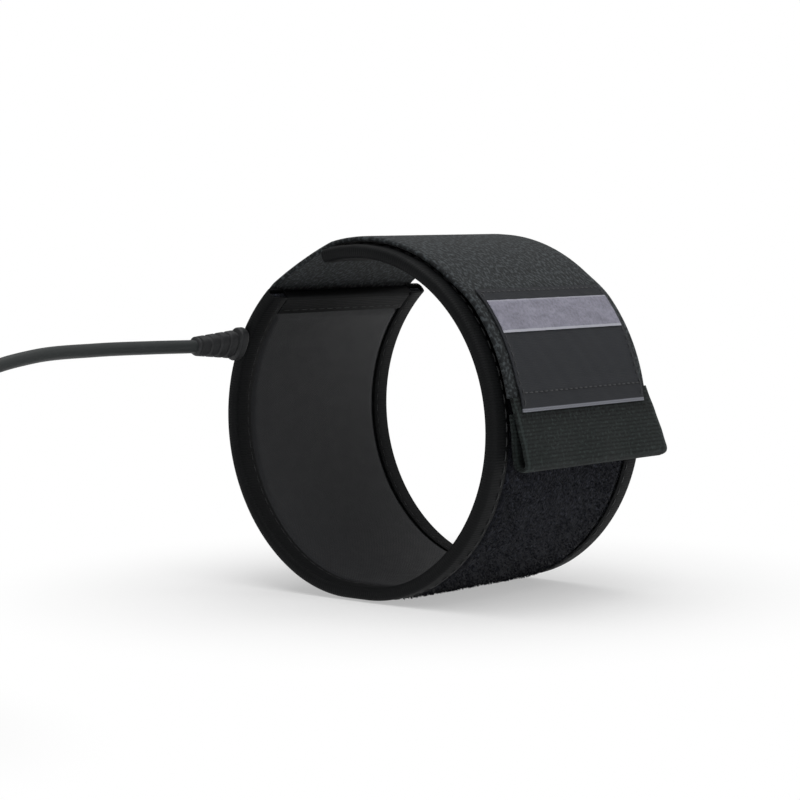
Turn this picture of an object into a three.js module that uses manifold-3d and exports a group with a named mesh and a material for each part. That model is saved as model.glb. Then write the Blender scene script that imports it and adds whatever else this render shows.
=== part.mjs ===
// Dew heater strip for a camera lens, closed into the loop that it makes round the barrel.
// Millimetres, +Z up. X is the lens axis with the front of the lens at -X, and the label faces -Y.
// The origin is on the flat spot that the strip stands on, straight below the lens axis.
// Every layer is laid out flat first, as it is cut, and then wrapped round the loop:
// s runs along the inner surface from the top of the loop down the label side, and t outwards from it.
import * as THREE from "three";
import { mergeVertices } from "three/addons/utils/BufferGeometryUtils.js";
import Module from "manifold-3d";

// Loop
const LENS_DIAMETER = 78;
const FLAT_WIDTH = 6;
const FLAT_BLEND_RADIUS = 33;
const FACET_LENGTH = 3.8;
const STRIP_FACET_LENGTH = 5;

// Pad: heated layers in edge binding
const PAD_WIDTH = 57;
const PAD_END_GAP = 19;
const PAD_START = -9.5;
const LINING_THICKNESS = 0.45;
const FILM_THICKNESS = 0.2;
const ELEMENT_THICKNESS = 0.25;
const FOAM_THICKNESS = 0.7;
const COVER_THICKNESS = 1.2;
const PLY_GAP = 0.2;
const BINDING_WIDTH = 5.8;
const BINDING_THICKNESS = 0.45;
const EDGE_RAMP = 1.3;

// Heating element
const ELEMENT_TRACK = 1.1;
const ELEMENT_PITCH = 4.2;
const ELEMENT_MARGIN = 1.6;
const RETURN_TRACK_GAP = 1.6;

// Wiring inside the pad, by the cord's exit
const CORD_FROM_PAD_END = 15;
const WIRE_DIAMETER = 0.8;
const WIRE_LENGTH = 4;
const WIRE_SPACING = 2.6;
const SOLDER_TAB = { length: 2.6, width: 1.6, thickness: 0.35 };
const CUTOUT = { length: 6.5, width: 3.4, thickness: 0.7 };
const POCKET_LENGTH = 17;
const POCKET_WIDTH = 7;

// Elastic strap, hook tape and label
const STRAP_WIDTH = 52;
const STRAP_THICKNESS = 1.3;
const STRAP_OVERLAP = 10;
const STRAP_SHIFT = 0.9;
const STRAP_END = 54;
const HOOK_START = 34;
const HOOK_LENGTH = 18.5;
const HOOK_WIDTH = 44;
const HOOK_THICKNESS = 0.5;
const HOOK_RISE = 9;
const LABEL_START = 30.6;
const LABEL_END = 57.3;
const LABEL_WIDTH = 46.5;
const LABEL_THICKNESS = 0.3;
const LABEL_RISE = 3;
const BAND_START = 33.7;
const BAND_LENGTH = 7.5;
const BAND_WIDTH = 45;
const BAND_THICKNESS = 0.15;

// Pull tab: a folded length of webbing at the end of the strap
const TAB_LENGTH = 17;
const TAB_THICKNESS = 1.1;
const TAB_FOLD_RADIUS = 1.7;
const TAB_FOLD_FACETS = 8;
const TAB_LEAF_FACETS = 4;
const TAB_DRIFT = 4.4;
const TAB_FLARE = 3.2;
const TAB_PINCH = 3.6;

// Cord, strain relief and coil
const CORD_DIAMETER = 3.2;
const CORD_SIDES = 8;
const CORD_STEPS = 56;
const TAIL_STEPS = 8;
// Route of the cord: x of each point, and how far it lies from the exit in y and z
const CORD_FALL = [
  [-58, 0.1, 0.3], [-76, 0.3, 0.5], [-94, 0.6, -0.1], [-110, 0.9, -3.4], [-123, 1.3, -11],
  [-133, 1.7, -22], [-141, 2.2, -34], [-150, 3.6, -46],
];
const CORD_LANDING = { x: -161, offset: 5.4, rise: 2.6 };
const CORD_TURN_X = -172;
const RELIEF_LENGTH = 16;
const RELIEF_TIP_DIAMETER = 4.3;
const RELIEF_COLLAR = { width: 8.4, height: 5, length: 2.4 };
const RELIEF_TONGUE_WIDTH = 6;
const RELIEF_RIBS = 4;
const RELIEF_GROOVE = { share: 0.4, depth: 0.82, crest: 0.97, ramp: 0.2 };
const RELIEF_SIDES = 16;
const COIL_X = -195;
const COIL_Y = 24;
const COIL_MEAN_DIAMETER = 34;
const COIL_COLUMNS = 3;
const COIL_ROWS = 3;
const COIL_CHAMFER = 1;
const COIL_SIDES = 32;
const TIE_WIDTH = 7;
const TIE_THICKNESS = 0.5;
const TIE_CORNER = 1;
const TIE_ANGLE = 0;

// Plug
const PLUG_LEAD = 18;
const PLUG_LEAD_END = 4;
const PLUG_BODY = { width: 15.6, height: 7.8, length: 23, corner: 2, rounding: 0.7 };
const PLUG_BOOT = { length: 9, diameter: 6, wall: 0.5, seated: 1.5 };
const BOOT_RIBS = { count: 3, lead: 0.4, depth: 0.84, crest: 1.04, ramp: 0.15, width: 0.9 };
const PLUG_SHELL = { width: 12, height: 4.5, wall: 0.35, corner: 0.6, exposed: 12, seated: 6 };
const LATCH_WINDOW = { width: 2.2, length: 2, offset: 2.7, setback: 5.6 };
const PLUG_TONGUE = { thickness: 1.7, setback: 0.6 };
const PLUG_CONTACT = { count: 4, width: 1, thickness: 0.2, length: 7, pitch: 2.3, setback: 1.6 };
const GRIP_GROOVES = 5;
const GRIP_PITCH = 2.2;
const GRIP_WIDTH = 0.9;
const GRIP_DEPTH = 0.5;
const GRIP_HEIGHT = 4.8;
const GRIP_SETBACK = 2;

// Clearance between pieces that touch on the real thing
const SEAT = 0.3;

const wasm = await Module();
wasm.setup();

// Loop outline: a circle, with a flat spot blended in at the bottom
const loopRadius = LENS_DIAMETER / 2;
const blendSpan = loopRadius - FLAT_BLEND_RADIUS;
const blendDrop = Math.sqrt(blendSpan ** 2 - (FLAT_WIDTH / 2) ** 2);
const blendAngle = Math.atan2(FLAT_WIDTH / 2, blendDrop);
const sideArc = loopRadius * (Math.PI - blendAngle);
const blendArc = FLAT_BLEND_RADIUS * blendAngle;
const perimeter = 2 * (sideArc + blendArc) + FLAT_WIDTH;

// Plies, from the lens outwards
const filmFrom = LINING_THICKNESS + PLY_GAP;
const elementFrom = filmFrom + FILM_THICKNESS + PLY_GAP;
const foamFrom = elementFrom + ELEMENT_THICKNESS + PLY_GAP;
const coverFrom = foamFrom + FOAM_THICKNESS + PLY_GAP;
const padThickness = coverFrom + COVER_THICKNESS;
const liningLip = BINDING_THICKNESS + PLY_GAP;
const coverLip = liningLip + LINING_THICKNESS + PLY_GAP;
const bindingOuter = coverLip + COVER_THICKNESS + PLY_GAP;

// Height of the lens axis above the surface that the strip stands on
const axisHeight = blendDrop + FLAT_BLEND_RADIUS + padThickness;

const padEnd = PAD_START + perimeter - PAD_END_GAP;
const edgeHalf = PAD_WIDTH / 2;
const plyHalf = edgeHalf - BINDING_THICKNESS - PLY_GAP;
const leafHalf = edgeHalf - BINDING_WIDTH;
const coreHalf = leafHalf - EDGE_RAMP - PLY_GAP;
const coreStart = PAD_START + BINDING_WIDTH + EDGE_RAMP + PLY_GAP;
const coreEnd = padEnd - BINDING_WIDTH - EDGE_RAMP - PLY_GAP;

// Outward direction and foot point of station s on the inner surface
function loopStation(s) {
  const low = axisHeight - blendDrop;
  if (s <= sideArc) return station(s / loopRadius, 0, axisHeight, loopRadius);
  if (s <= sideArc + blendArc) {
    const angle = Math.PI - blendAngle + (s - sideArc) / FLAT_BLEND_RADIUS;
    return station(angle, -FLAT_WIDTH / 2, low, FLAT_BLEND_RADIUS);
  }
  if (s <= sideArc + blendArc + FLAT_WIDTH) {
    const y = s - sideArc - blendArc - FLAT_WIDTH / 2;
    return station(Math.PI, y, low, FLAT_BLEND_RADIUS);
  }
  if (s <= perimeter - sideArc) {
    const angle = Math.PI + (s - sideArc - blendArc - FLAT_WIDTH) / FLAT_BLEND_RADIUS;
    return station(angle, FLAT_WIDTH / 2, low, FLAT_BLEND_RADIUS);
  }
  return station((s - perimeter) / loopRadius, 0, axisHeight, loopRadius);
}

function station(angle, centreY, centreZ, radius) {
  const outY = -Math.sin(angle);
  const outZ = Math.cos(angle);
  return { outY, outZ, y: centreY + radius * outY, z: centreZ + radius * outZ };
}

// Flat point to its place on the loop
function wrapPoint(x, s, t) {
  const foot = loopStation(s);
  return new THREE.Vector3(x, foot.y + t * foot.outY, foot.z + t * foot.outZ);
}

// Matrix that carries a small rigid piece from its own frame to a station: x across, y back along s, z outwards
function stationMatrix(x, s, t) {
  const foot = loopStation(s);
  const across = new THREE.Vector3(1, 0, 0);
  const back = new THREE.Vector3(0, foot.outZ, -foot.outY);
  const out = new THREE.Vector3(0, foot.outY, foot.outZ);
  return new THREE.Matrix4().makeBasis(across, back, out).setPosition(wrapPoint(x, s, t));
}

function mapPoints(geometry, change) {
  const places = geometry.getAttribute("position");
  for (let i = 0; i < places.count; i += 1) {
    const moved = change(places.getX(i), places.getY(i), places.getZ(i));
    places.setXYZ(i, moved.x, moved.y, moved.z);
  }
  return geometry;
}

// Stations from one place on the loop to another, with one at each change of curvature
function stationsBetween(from, to, extra = [], facet = FACET_LENGTH) {
  const changes = [sideArc, sideArc + blendArc, sideArc + blendArc + FLAT_WIDTH, perimeter - sideArc];
  const breaks = [from, ...extra, ...changes.filter((s) => s > from && s < to), to];
  breaks.sort((a, b) => a - b);
  const list = [from];
  for (let i = 1; i < breaks.length; i += 1) {
    const span = breaks[i] - breaks[i - 1];
    const count = Math.max(1, Math.ceil(span / facet - 1e-6));
    for (let k = 1; k <= count; k += 1) list.push(breaks[i - 1] + (span * k) / count);
  }
  return list;
}

// A cross-section of (x, t) carried along the loop through the given stations
function wrappedSection(outline, stations, lift = () => 0) {
  const shape = new THREE.Shape(outline.map(([x, t]) => new THREE.Vector2(x, t)));
  const steps = stations.length - 1;
  const flat = new THREE.ExtrudeGeometry(shape, { depth: steps, steps, bevelEnabled: false });
  return mapPoints(flat, (x, t, step) => {
    const s = stations[Math.round(step)];
    return wrapPoint(x, s, t + lift(x, s));
  });
}

// A strip whose thickness follows a centre line of (a, b) points
function stripShape(line, thickness) {
  const sides = line.map((point, i) => {
    const before = line[Math.max(i - 1, 0)];
    const after = line[Math.min(i + 1, line.length - 1)];
    const inward = new THREE.Vector2(point[0] - before[0], point[1] - before[1]);
    const onward = new THREE.Vector2(after[0] - point[0], after[1] - point[1]);
    if (i === 0) inward.copy(onward);
    if (i === line.length - 1) onward.copy(inward);
    const left = new THREE.Vector2(-inward.y, inward.x).normalize();
    const right = new THREE.Vector2(-onward.y, onward.x).normalize();
    const reach = thickness / 2 / (1 + left.dot(right));
    return left.add(right).multiplyScalar(reach);
  });
  const centre = line.map(([a, b]) => new THREE.Vector2(a, b));
  const upper = centre.map((point, i) => point.clone().add(sides[i]));
  const lower = centre.map((point, i) => point.clone().sub(sides[i]));
  return new THREE.Shape([...lower, ...upper.reverse()]);
}

// A strip laid along the loop in line with the strap: its centre line is t = height(s)
function wrappedStrip(from, to, height, thickness, width) {
  const changes = [HOOK_START - HOOK_RISE, HOOK_START, STRAP_END - LABEL_RISE, STRAP_END];
  const rises = changes.filter((s) => s > from && s < to);
  const [left, right] = [STRAP_SHIFT - width / 2, STRAP_SHIFT + width / 2];
  const half = thickness / 2;
  const outline = [[left, -half], [right, -half], [right, half], [left, half]];
  return wrappedSection(outline, stationsBetween(from, to, rises, STRIP_FACET_LENGTH), (x, s) => height(s));
}

// Joining and cutting
function toSolid(geometry) {
  const bare = geometry.clone();
  bare.deleteAttribute("normal");
  bare.deleteAttribute("uv");
  const merged = mergeVertices(bare, 1e-4);
  const vertProperties = new Float32Array(merged.getAttribute("position").array);
  const triVerts = new Uint32Array(merged.index.array);
  return new wasm.Manifold(new wasm.Mesh({ numProp: 3, vertProperties, triVerts }));
}

function toGeometry(solid) {
  const mesh = solid.getMesh();
  const geometry = new THREE.BufferGeometry();
  geometry.setAttribute("position", new THREE.BufferAttribute(mesh.vertProperties, 3));
  geometry.setIndex(new THREE.BufferAttribute(mesh.triVerts, 1));
  geometry.computeVertexNormals();
  return geometry;
}

function cut(geometry, ...tools) {
  return toGeometry(tools.reduce((solid, tool) => solid.subtract(toSolid(tool)), toSolid(geometry)));
}

function join(geometry, ...others) {
  return toGeometry(others.reduce((solid, other) => solid.add(toSolid(other)), toSolid(geometry)));
}

// Smooth step from 0 at a to 1 at b
function ease(a, b, value) {
  return THREE.MathUtils.smoothstep(value, Math.min(a, b), Math.max(a, b));
}

// How far the pad's edge is pressed together at a place: 0 on the padded middle, 1 in the binding
function pressed(x, s) {
  const acrossEdge = (Math.abs(x) - leafHalf + EDGE_RAMP) / EDGE_RAMP;
  const alongEdge = Math.max(PAD_START + BINDING_WIDTH + EDGE_RAMP - s, s - padEnd + BINDING_WIDTH + EDGE_RAMP);
  return THREE.MathUtils.clamp(Math.max(acrossEdge, alongEdge / EDGE_RAMP), 0, 1);
}

// Cover or lining: a sheet that is pressed towards the middle of the pad's thickness at its edges
function pressedPly(from, thickness, lipFrom) {
  const breaks = [-plyHalf, -leafHalf, -leafHalf + EDGE_RAMP, leafHalf - EDGE_RAMP, leafHalf, plyHalf];
  const outline = [...breaks.map((x) => [x, from]), ...breaks.map((x) => [-x, from + thickness])];
  const start = PAD_START + BINDING_THICKNESS + PLY_GAP;
  const end = padEnd - BINDING_THICKNESS - PLY_GAP;
  const edge = [BINDING_WIDTH, BINDING_WIDTH + EDGE_RAMP];
  const extra = [...edge.map((d) => PAD_START + d), ...edge.map((d) => padEnd - d)];
  const ply = wrappedSection(outline, stationsBetween(start, end, extra),
    (x, s) => (lipFrom - from) * pressed(x, s));
  return cut(ply, reliefSlot());
}

function innerPly(from, thickness) {
  const top = from + thickness;
  const outline = [[-coreHalf, from], [coreHalf, from], [coreHalf, top], [-coreHalf, top]];
  return wrappedSection(outline, stationsBetween(coreStart, coreEnd));
}

// Binding: a folded tape with a leaf on each face of the pad and a web over its edge
function bindingOutline(edge, leaf) {
  const web = edge - Math.sign(edge) * BINDING_THICKNESS;
  const top = bindingOuter + BINDING_THICKNESS;
  return [
    [leaf, 0], [edge, 0], [edge, top], [leaf, top],
    [leaf, bindingOuter], [web, bindingOuter], [web, BINDING_THICKNESS], [leaf, BINDING_THICKNESS],
  ];
}

function longBinding(side) {
  const outline = bindingOutline(side * edgeHalf, side * (leafHalf + PLY_GAP));
  return wrappedSection(outline, stationsBetween(PAD_START, padEnd));
}

function endBinding(end, inwards) {
  const leaf = BINDING_WIDTH - PLY_GAP;
  const shape = new THREE.Shape(bindingOutline(leaf, 0).map(([a, t]) => new THREE.Vector2(a, t)));
  const width = 2 * leafHalf;
  const flat = new THREE.ExtrudeGeometry(shape, { depth: width, steps: 1, bevelEnabled: false });
  return mapPoints(flat, (a, t, across) => {
    return wrapPoint(inwards * (across - width / 2), end + inwards * (leaf - a), t);
  });
}

// Heating element: a track that runs to and fro across the film, and a return track along the front edge
function heatingElement() {
  const rear = coreHalf - ELEMENT_MARGIN;
  const returnX = -coreHalf + ELEMENT_MARGIN;
  const front = returnX + ELEMENT_TRACK + RETURN_TRACK_GAP;
  const first = coreStart + ELEMENT_MARGIN;
  const last = terminalStation(-1);
  const runs = 2 * Math.floor((last - first) / ELEMENT_PITCH / 2) + 1;
  const pitch = (last - first) / runs;
  const line = [[returnX, first]];
  for (let run = 0; run < runs; run += 1) {
    const turnX = run % 2 === 0 ? rear : front;
    line.push([turnX, first + run * pitch], [turnX, first + (run + 1) * pitch]);
  }
  line.push([terminalX() + SOLDER_TAB.length / 2, last]);
  const shape = stripShape(line, ELEMENT_TRACK);
  const flat = new THREE.ExtrudeGeometry(shape, { depth: ELEMENT_THICKNESS, steps: 1, bevelEnabled: false });
  const top = elementFrom + ELEMENT_THICKNESS;
  const track = mapPoints(flat, (x, s, down) => wrapPoint(x, s, top - down));
  const half = ELEMENT_TRACK / 2;
  const returnOutline = [
    [returnX - half, elementFrom], [returnX + half, elementFrom],
    [returnX + half, top], [returnX - half, top],
  ];
  const back = terminalStation(1);
  const returnTrack = wrappedSection(returnOutline, stationsBetween(first - half, back + half));
  const padOutline = [
    [returnX, elementFrom], [terminalX() + SOLDER_TAB.length / 2, elementFrom],
    [terminalX() + SOLDER_TAB.length / 2, top], [returnX, top],
  ];
  const terminalPad = wrappedSection(padOutline, [back - half, back + half]);
  return join(track, returnTrack, terminalPad);
}

// Wiring: the cord's two cores are soldered to the ends of the element inside a pocket in the foam
const cordStation = padEnd - CORD_FROM_PAD_END;

function terminalStation(side) {
  return cordStation + (side * WIRE_SPACING) / 2;
}

function terminalX() {
  return -coreHalf + ELEMENT_MARGIN + WIRE_LENGTH + SOLDER_TAB.length / 2;
}

const wireLift = elementFrom + ELEMENT_THICKNESS + PLY_GAP + SOLDER_TAB.thickness / 2;

function solderTab(side) {
  const { length, width, thickness } = SOLDER_TAB;
  return new THREE.BoxGeometry(length, width, thickness)
    .applyMatrix4(stationMatrix(terminalX(), terminalStation(side), wireLift));
}

function leadWire(side) {
  const from = -coreHalf + PLY_GAP;
  const to = terminalX() - SOLDER_TAB.length / 2 - PLY_GAP;
  return new THREE.CylinderGeometry(WIRE_DIAMETER / 2, WIRE_DIAMETER / 2, to - from, 10)
    .rotateZ(Math.PI / 2)
    .applyMatrix4(stationMatrix((from + to) / 2, terminalStation(side), wireLift));
}

function thermalCutout() {
  const { length, width, thickness } = CUTOUT;
  const x = terminalX() + SOLDER_TAB.length / 2 + PLY_GAP + length / 2;
  return new THREE.BoxGeometry(length, width, thickness)
    .applyMatrix4(stationMatrix(x, cordStation, foamFrom + thickness / 2));
}

function foam() {
  const pocket = new THREE.BoxGeometry(POCKET_LENGTH, POCKET_WIDTH, 4 * FOAM_THICKNESS)
    .applyMatrix4(stationMatrix(-coreHalf + POCKET_LENGTH / 2 - PLY_GAP, cordStation, foamFrom));
  return cut(innerPly(foamFrom, FOAM_THICKNESS), pocket);
}

// Strap: sewn over the far end of the pad, stretched over the top and closed on the near side
function strapHeight(s) {
  const onPad = padThickness + PLY_GAP + STRAP_THICKNESS / 2;
  return onPad + (HOOK_THICKNESS + PLY_GAP) * ease(HOOK_START - HOOK_RISE, HOOK_START, s);
}

function labelHeight(s) {
  const onStrap = strapHeight(s) + STRAP_THICKNESS / 2;
  const tabTop = tabMiddle + TAB_THICKNESS / 2;
  const overTab = Math.max(0, tabTop - strapHeight(STRAP_END) - STRAP_THICKNESS / 2);
  const beyond = Math.max(0, s - STRAP_END) / loopRadius;
  const leaving = (loopRadius + tabTop) * (1 / Math.cos(beyond) - 1);
  const rise = overTab * ease(STRAP_END - LABEL_RISE, STRAP_END, s) + leaving;
  return onStrap + PLY_GAP + LABEL_THICKNESS / 2 + rise;
}

// Pull tab: its outer leaf leaves the loop along the tangent, folds, and its inner leaf comes back along the pad
const tabMiddle = padThickness + SEAT + PLY_GAP + 1.5 * TAB_THICKNESS;

function pullTab() {
  const fold = TAB_LENGTH - TAB_FOLD_RADIUS - TAB_THICKNESS / 2;
  const line = [[0, 0], [fold, 0]];
  for (let i = 1; i < TAB_FOLD_FACETS; i += 1) {
    const angle = (Math.PI * i) / TAB_FOLD_FACETS;
    line.push([fold + TAB_FOLD_RADIUS * Math.sin(angle), -TAB_FOLD_RADIUS * (1 - Math.cos(angle))]);
  }
  const onPad = loopRadius + padThickness + SEAT + TAB_THICKNESS / 2;
  for (let i = 0; i <= TAB_LEAF_FACETS; i += 1) {
    const down = THREE.MathUtils.lerp(fold, TAB_PINCH, i / TAB_LEAF_FACETS);
    const straight = THREE.MathUtils.lerp(-2 * TAB_FOLD_RADIUS, -TAB_THICKNESS - PLY_GAP, i / TAB_LEAF_FACETS);
    line.push([down, Math.max(straight, Math.sqrt(onPad ** 2 - down ** 2) - loopRadius - tabMiddle)]);
  }
  const shape = stripShape(line, TAB_THICKNESS);
  const flat = new THREE.ExtrudeGeometry(shape, { depth: 1, steps: 1, bevelEnabled: false });
  const root = stationMatrix(STRAP_SHIFT, STRAP_END + SEAT, tabMiddle);
  return mapPoints(flat, (down, out, across) => {
    const share = Math.max(0, down) / TAB_LENGTH;
    const width = STRAP_WIDTH + TAB_FLARE * share;
    return new THREE.Vector3(TAB_DRIFT * share + width * (0.5 - across), -down, out).applyMatrix4(root);
  });
}

// Strain relief: a flat tongue held in the pad's edge, a collar outside it and a ribbed sleeve down to the cord
const reliefMiddle = padThickness / 2;

function reliefSlot() {
  const depth = edgeHalf - coreHalf;
  const height = 2 * bindingOuter;
  return new THREE.BoxGeometry(2 * depth, RELIEF_TONGUE_WIDTH + 2 * SEAT, height)
    .applyMatrix4(stationMatrix(-edgeHalf, cordStation, bindingOuter - height / 2));
}

function strainRelief() {
  const tongueLength = edgeHalf - coreHalf - PLY_GAP + RELIEF_COLLAR.length / 2;
  const tongueHeight = bindingOuter - PLY_GAP;
  const tongue = new THREE.BoxGeometry(tongueLength, RELIEF_TONGUE_WIDTH, tongueHeight)
    .translate(tongueLength / 2 - RELIEF_COLLAR.length / 2, 0, tongueHeight / 2 - reliefMiddle);
  const profile = [[0, 0], [1, 0], [1, RELIEF_COLLAR.length]];
  const ribPitch = (RELIEF_LENGTH - RELIEF_COLLAR.length) / (RELIEF_RIBS + 0.5);
  const taper = (along) => 1 - ((1 - RELIEF_TIP_DIAMETER / RELIEF_COLLAR.height) * along) / RELIEF_LENGTH;
  const { share, depth, crest, ramp } = RELIEF_GROOVE;
  for (let rib = 0; rib < RELIEF_RIBS; rib += 1) {
    const from = RELIEF_COLLAR.length + rib * ribPitch;
    const groove = from + ribPitch * share;
    const next = from + ribPitch;
    profile.push([taper(from) * depth, from], [taper(from) * depth, groove]);
    profile.push([taper(groove) * crest, groove + ramp], [taper(next) * crest, next]);
  }
  profile.push([RELIEF_TIP_DIAMETER / RELIEF_COLLAR.height, RELIEF_LENGTH], [0, RELIEF_LENGTH]);
  const points = profile.map(([r, along]) => new THREE.Vector2((r * RELIEF_COLLAR.height) / 2, along));
  const sleeve = new THREE.LatheGeometry(points, RELIEF_SIDES).rotateZ(Math.PI / 2);
  const widen = RELIEF_COLLAR.width / RELIEF_COLLAR.height - 1;
  mapPoints(sleeve, (x, y, z) => new THREE.Vector3(x, y * (1 + widen * (1 + x / RELIEF_LENGTH)), z));
  sleeve.translate(-SEAT, 0, 0);
  return join(sleeve, tongue).applyMatrix4(stationMatrix(-edgeHalf, cordStation, reliefMiddle));
}

// Cord: level as it leaves the strip, then down to the surface and along it to the coil
const exit = wrapPoint(-edgeHalf - RELIEF_LENGTH - 2 * SEAT, cordStation, reliefMiddle);
const cordRadius = CORD_DIAMETER / 2;
const coilWidth = COIL_COLUMNS * CORD_DIAMETER;
const coilHeight = COIL_ROWS * CORD_DIAMETER;
const coilOuter = (COIL_MEAN_DIAMETER + coilWidth) / 2;
const coilInner = (COIL_MEAN_DIAMETER - coilWidth) / 2;
const coilBottom = TIE_THICKNESS + SEAT;
const outerTurn = coilOuter - cordRadius;
const coilReach = Math.sqrt(coilOuter ** 2 - (coilOuter - CORD_DIAMETER) ** 2) + SEAT;

const cordRoute = [
  [exit.x, exit.y, exit.z],
  ...CORD_FALL.map(([x, y, z]) => [x, exit.y + y, exit.z + z]),
  [CORD_LANDING.x, exit.y + CORD_LANDING.offset, cordRadius + CORD_LANDING.rise],
  [CORD_TURN_X, COIL_Y + outerTurn, cordRadius + SEAT],
  [COIL_X + coilReach, COIL_Y + outerTurn, cordRadius + SEAT],
];

const plugX = COIL_X - outerTurn;
const plugBackY = COIL_Y - coilReach - PLUG_LEAD;
const plugMiddle = PLUG_BODY.height / 2;
const topTurn = coilBottom + coilHeight - cordRadius;
const tailRoute = [
  [plugX, COIL_Y - coilReach, topTurn],
  [plugX, COIL_Y - coilReach - PLUG_LEAD_END, topTurn - SEAT],
  [plugX, plugBackY + SEAT + PLUG_LEAD_END, plugMiddle + SEAT],
  [plugX, plugBackY + SEAT, plugMiddle],
];

function cordTube(points, steps) {
  const route = new THREE.CatmullRomCurve3(points.map((p) => new THREE.Vector3(...p)));
  const section = new THREE.Shape();
  for (let i = 0; i < CORD_SIDES; i += 1) {
    const angle = (2 * Math.PI * i) / CORD_SIDES;
    const place = [cordRadius * Math.cos(angle), cordRadius * Math.sin(angle)];
    if (i === 0) section.moveTo(...place);
    else section.lineTo(...place);
  }
  return new THREE.ExtrudeGeometry(section, { steps, bevelEnabled: false, extrudePath: route });
}

function coilRing() {
  const outline = [
    [coilInner + COIL_CHAMFER, 0], [coilOuter - COIL_CHAMFER, 0], [coilOuter, COIL_CHAMFER],
    [coilOuter, coilHeight - COIL_CHAMFER], [coilOuter - COIL_CHAMFER, coilHeight],
    [coilInner + COIL_CHAMFER, coilHeight], [coilInner, coilHeight - COIL_CHAMFER], [coilInner, COIL_CHAMFER],
    [coilInner + COIL_CHAMFER, 0],
  ].map(([r, z]) => new THREE.Vector2(r, z));
  return new THREE.LatheGeometry(outline, COIL_SIDES).rotateX(Math.PI / 2);
}

function roundedRectangle(width, height, corner, target = new THREE.Shape()) {
  const x = width / 2;
  const y = height / 2;
  target.moveTo(-x + corner, -y);
  target.lineTo(x - corner, -y);
  target.absarc(x - corner, -y + corner, corner, -Math.PI / 2, 0);
  target.lineTo(x, y - corner);
  target.absarc(x - corner, y - corner, corner, 0, Math.PI / 2);
  target.lineTo(-x + corner, y);
  target.absarc(-x + corner, y - corner, corner, Math.PI / 2, Math.PI);
  target.lineTo(-x, -y + corner);
  target.absarc(-x + corner, -y + corner, corner, Math.PI, 1.5 * Math.PI);
  return target;
}

// The tie is straight and the coil curves inside it, so its inner wall stands off by the curve's rise
const tieInner = Math.sqrt(coilInner ** 2 - (TIE_WIDTH / 2) ** 2) - SEAT;
const tieOuter = coilOuter + SEAT;

function coilTie() {
  const width = tieOuter - tieInner;
  const height = coilHeight + 2 * SEAT;
  const corner = TIE_CORNER + TIE_THICKNESS;
  const outer = roundedRectangle(width + 2 * TIE_THICKNESS, height + 2 * TIE_THICKNESS, corner);
  outer.holes.push(roundedRectangle(width, height, TIE_CORNER, new THREE.Path()));
  const options = { depth: TIE_WIDTH, steps: 1, bevelEnabled: false, curveSegments: 3 };
  return new THREE.ExtrudeGeometry(outer, options).translate(0, 0, -TIE_WIDTH / 2).rotateX(Math.PI / 2);
}

// Plug, along its own z axis from the cord's end to the socket's end, with y up
function bootSleeve() {
  const tip = CORD_DIAMETER / 2 + PLUG_BOOT.wall;
  const base = PLUG_BOOT.diameter / 2;
  const { count, lead, depth, crest, ramp, width } = BOOT_RIBS;
  const profile = [[0, 0], [tip, 0]];
  for (let rib = 0; rib < count; rib += 1) {
    const from = ((rib + lead) * PLUG_BOOT.length) / count;
    const radius = THREE.MathUtils.lerp(tip, base, from / PLUG_BOOT.length);
    profile.push([radius, from], [radius * depth, from + ramp]);
    profile.push([radius * depth, from + width], [radius * crest, from + width + ramp]);
  }
  const top = PLUG_BOOT.length + PLUG_BOOT.seated;
  profile.push([base, top], [0, top]);
  const points = profile.map(([r, z]) => new THREE.Vector2(r, z));
  return new THREE.LatheGeometry(points, RELIEF_SIDES).rotateX(Math.PI / 2);
}

function plugBody() {
  const { width, height, length, corner, rounding } = PLUG_BODY;
  const options = {
    depth: length - 2 * rounding, steps: 1, curveSegments: 4,
    bevelEnabled: true, bevelSize: rounding, bevelThickness: rounding, bevelOffset: -rounding, bevelSegments: 2,
  };
  const block = new THREE.ExtrudeGeometry(roundedRectangle(width, height, corner), options)
    .translate(0, 0, PLUG_BOOT.length + rounding);
  const boot = bootSleeve();
  const boreDepth = PLUG_SHELL.seated + SEAT;
  const bore = new THREE.BoxGeometry(PLUG_SHELL.width + 2 * SEAT, PLUG_SHELL.height + 2 * SEAT, 2 * boreDepth)
    .translate(0, 0, PLUG_BOOT.length + length);
  const grooves = [];
  for (let i = 0; i < GRIP_GROOVES; i += 1) {
    const z = PLUG_BOOT.length + length / 2 + (i - (GRIP_GROOVES - 1) / 2) * GRIP_PITCH - GRIP_SETBACK;
    for (const side of [-1, 1]) {
      grooves.push(new THREE.BoxGeometry(2 * GRIP_DEPTH, GRIP_HEIGHT, GRIP_WIDTH)
        .translate((side * width) / 2, 0, z));
    }
  }
  return cut(join(block, boot), bore, ...grooves);
}

const plugFace = PLUG_BOOT.length + PLUG_BODY.length;

function plugShell() {
  const { width, height, wall, corner, exposed, seated } = PLUG_SHELL;
  const outline = roundedRectangle(width, height, corner);
  outline.holes.push(roundedRectangle(width - 2 * wall, height - 2 * wall, corner - wall, new THREE.Path()));
  const options = { depth: exposed + seated, steps: 1, bevelEnabled: false, curveSegments: 2 };
  const tube = new THREE.ExtrudeGeometry(outline, options).translate(0, 0, plugFace - seated);
  const window = LATCH_WINDOW;
  const windows = [-1, 1].map((side) => new THREE.BoxGeometry(window.width, 2 * height, window.length)
    .translate(side * window.offset, 0, plugFace + exposed - window.setback));
  return cut(tube, ...windows);
}

function plugTongue() {
  const { width, height, wall, exposed, seated } = PLUG_SHELL;
  const { thickness, setback } = PLUG_TONGUE;
  const back = plugFace - seated + PLY_GAP;
  const front = plugFace + exposed - setback;
  return new THREE.BoxGeometry(width - 2 * wall - 2 * PLY_GAP, thickness, front - back)
    .translate(0, -height / 2 + wall + PLY_GAP + thickness / 2, (front + back) / 2);
}

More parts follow.
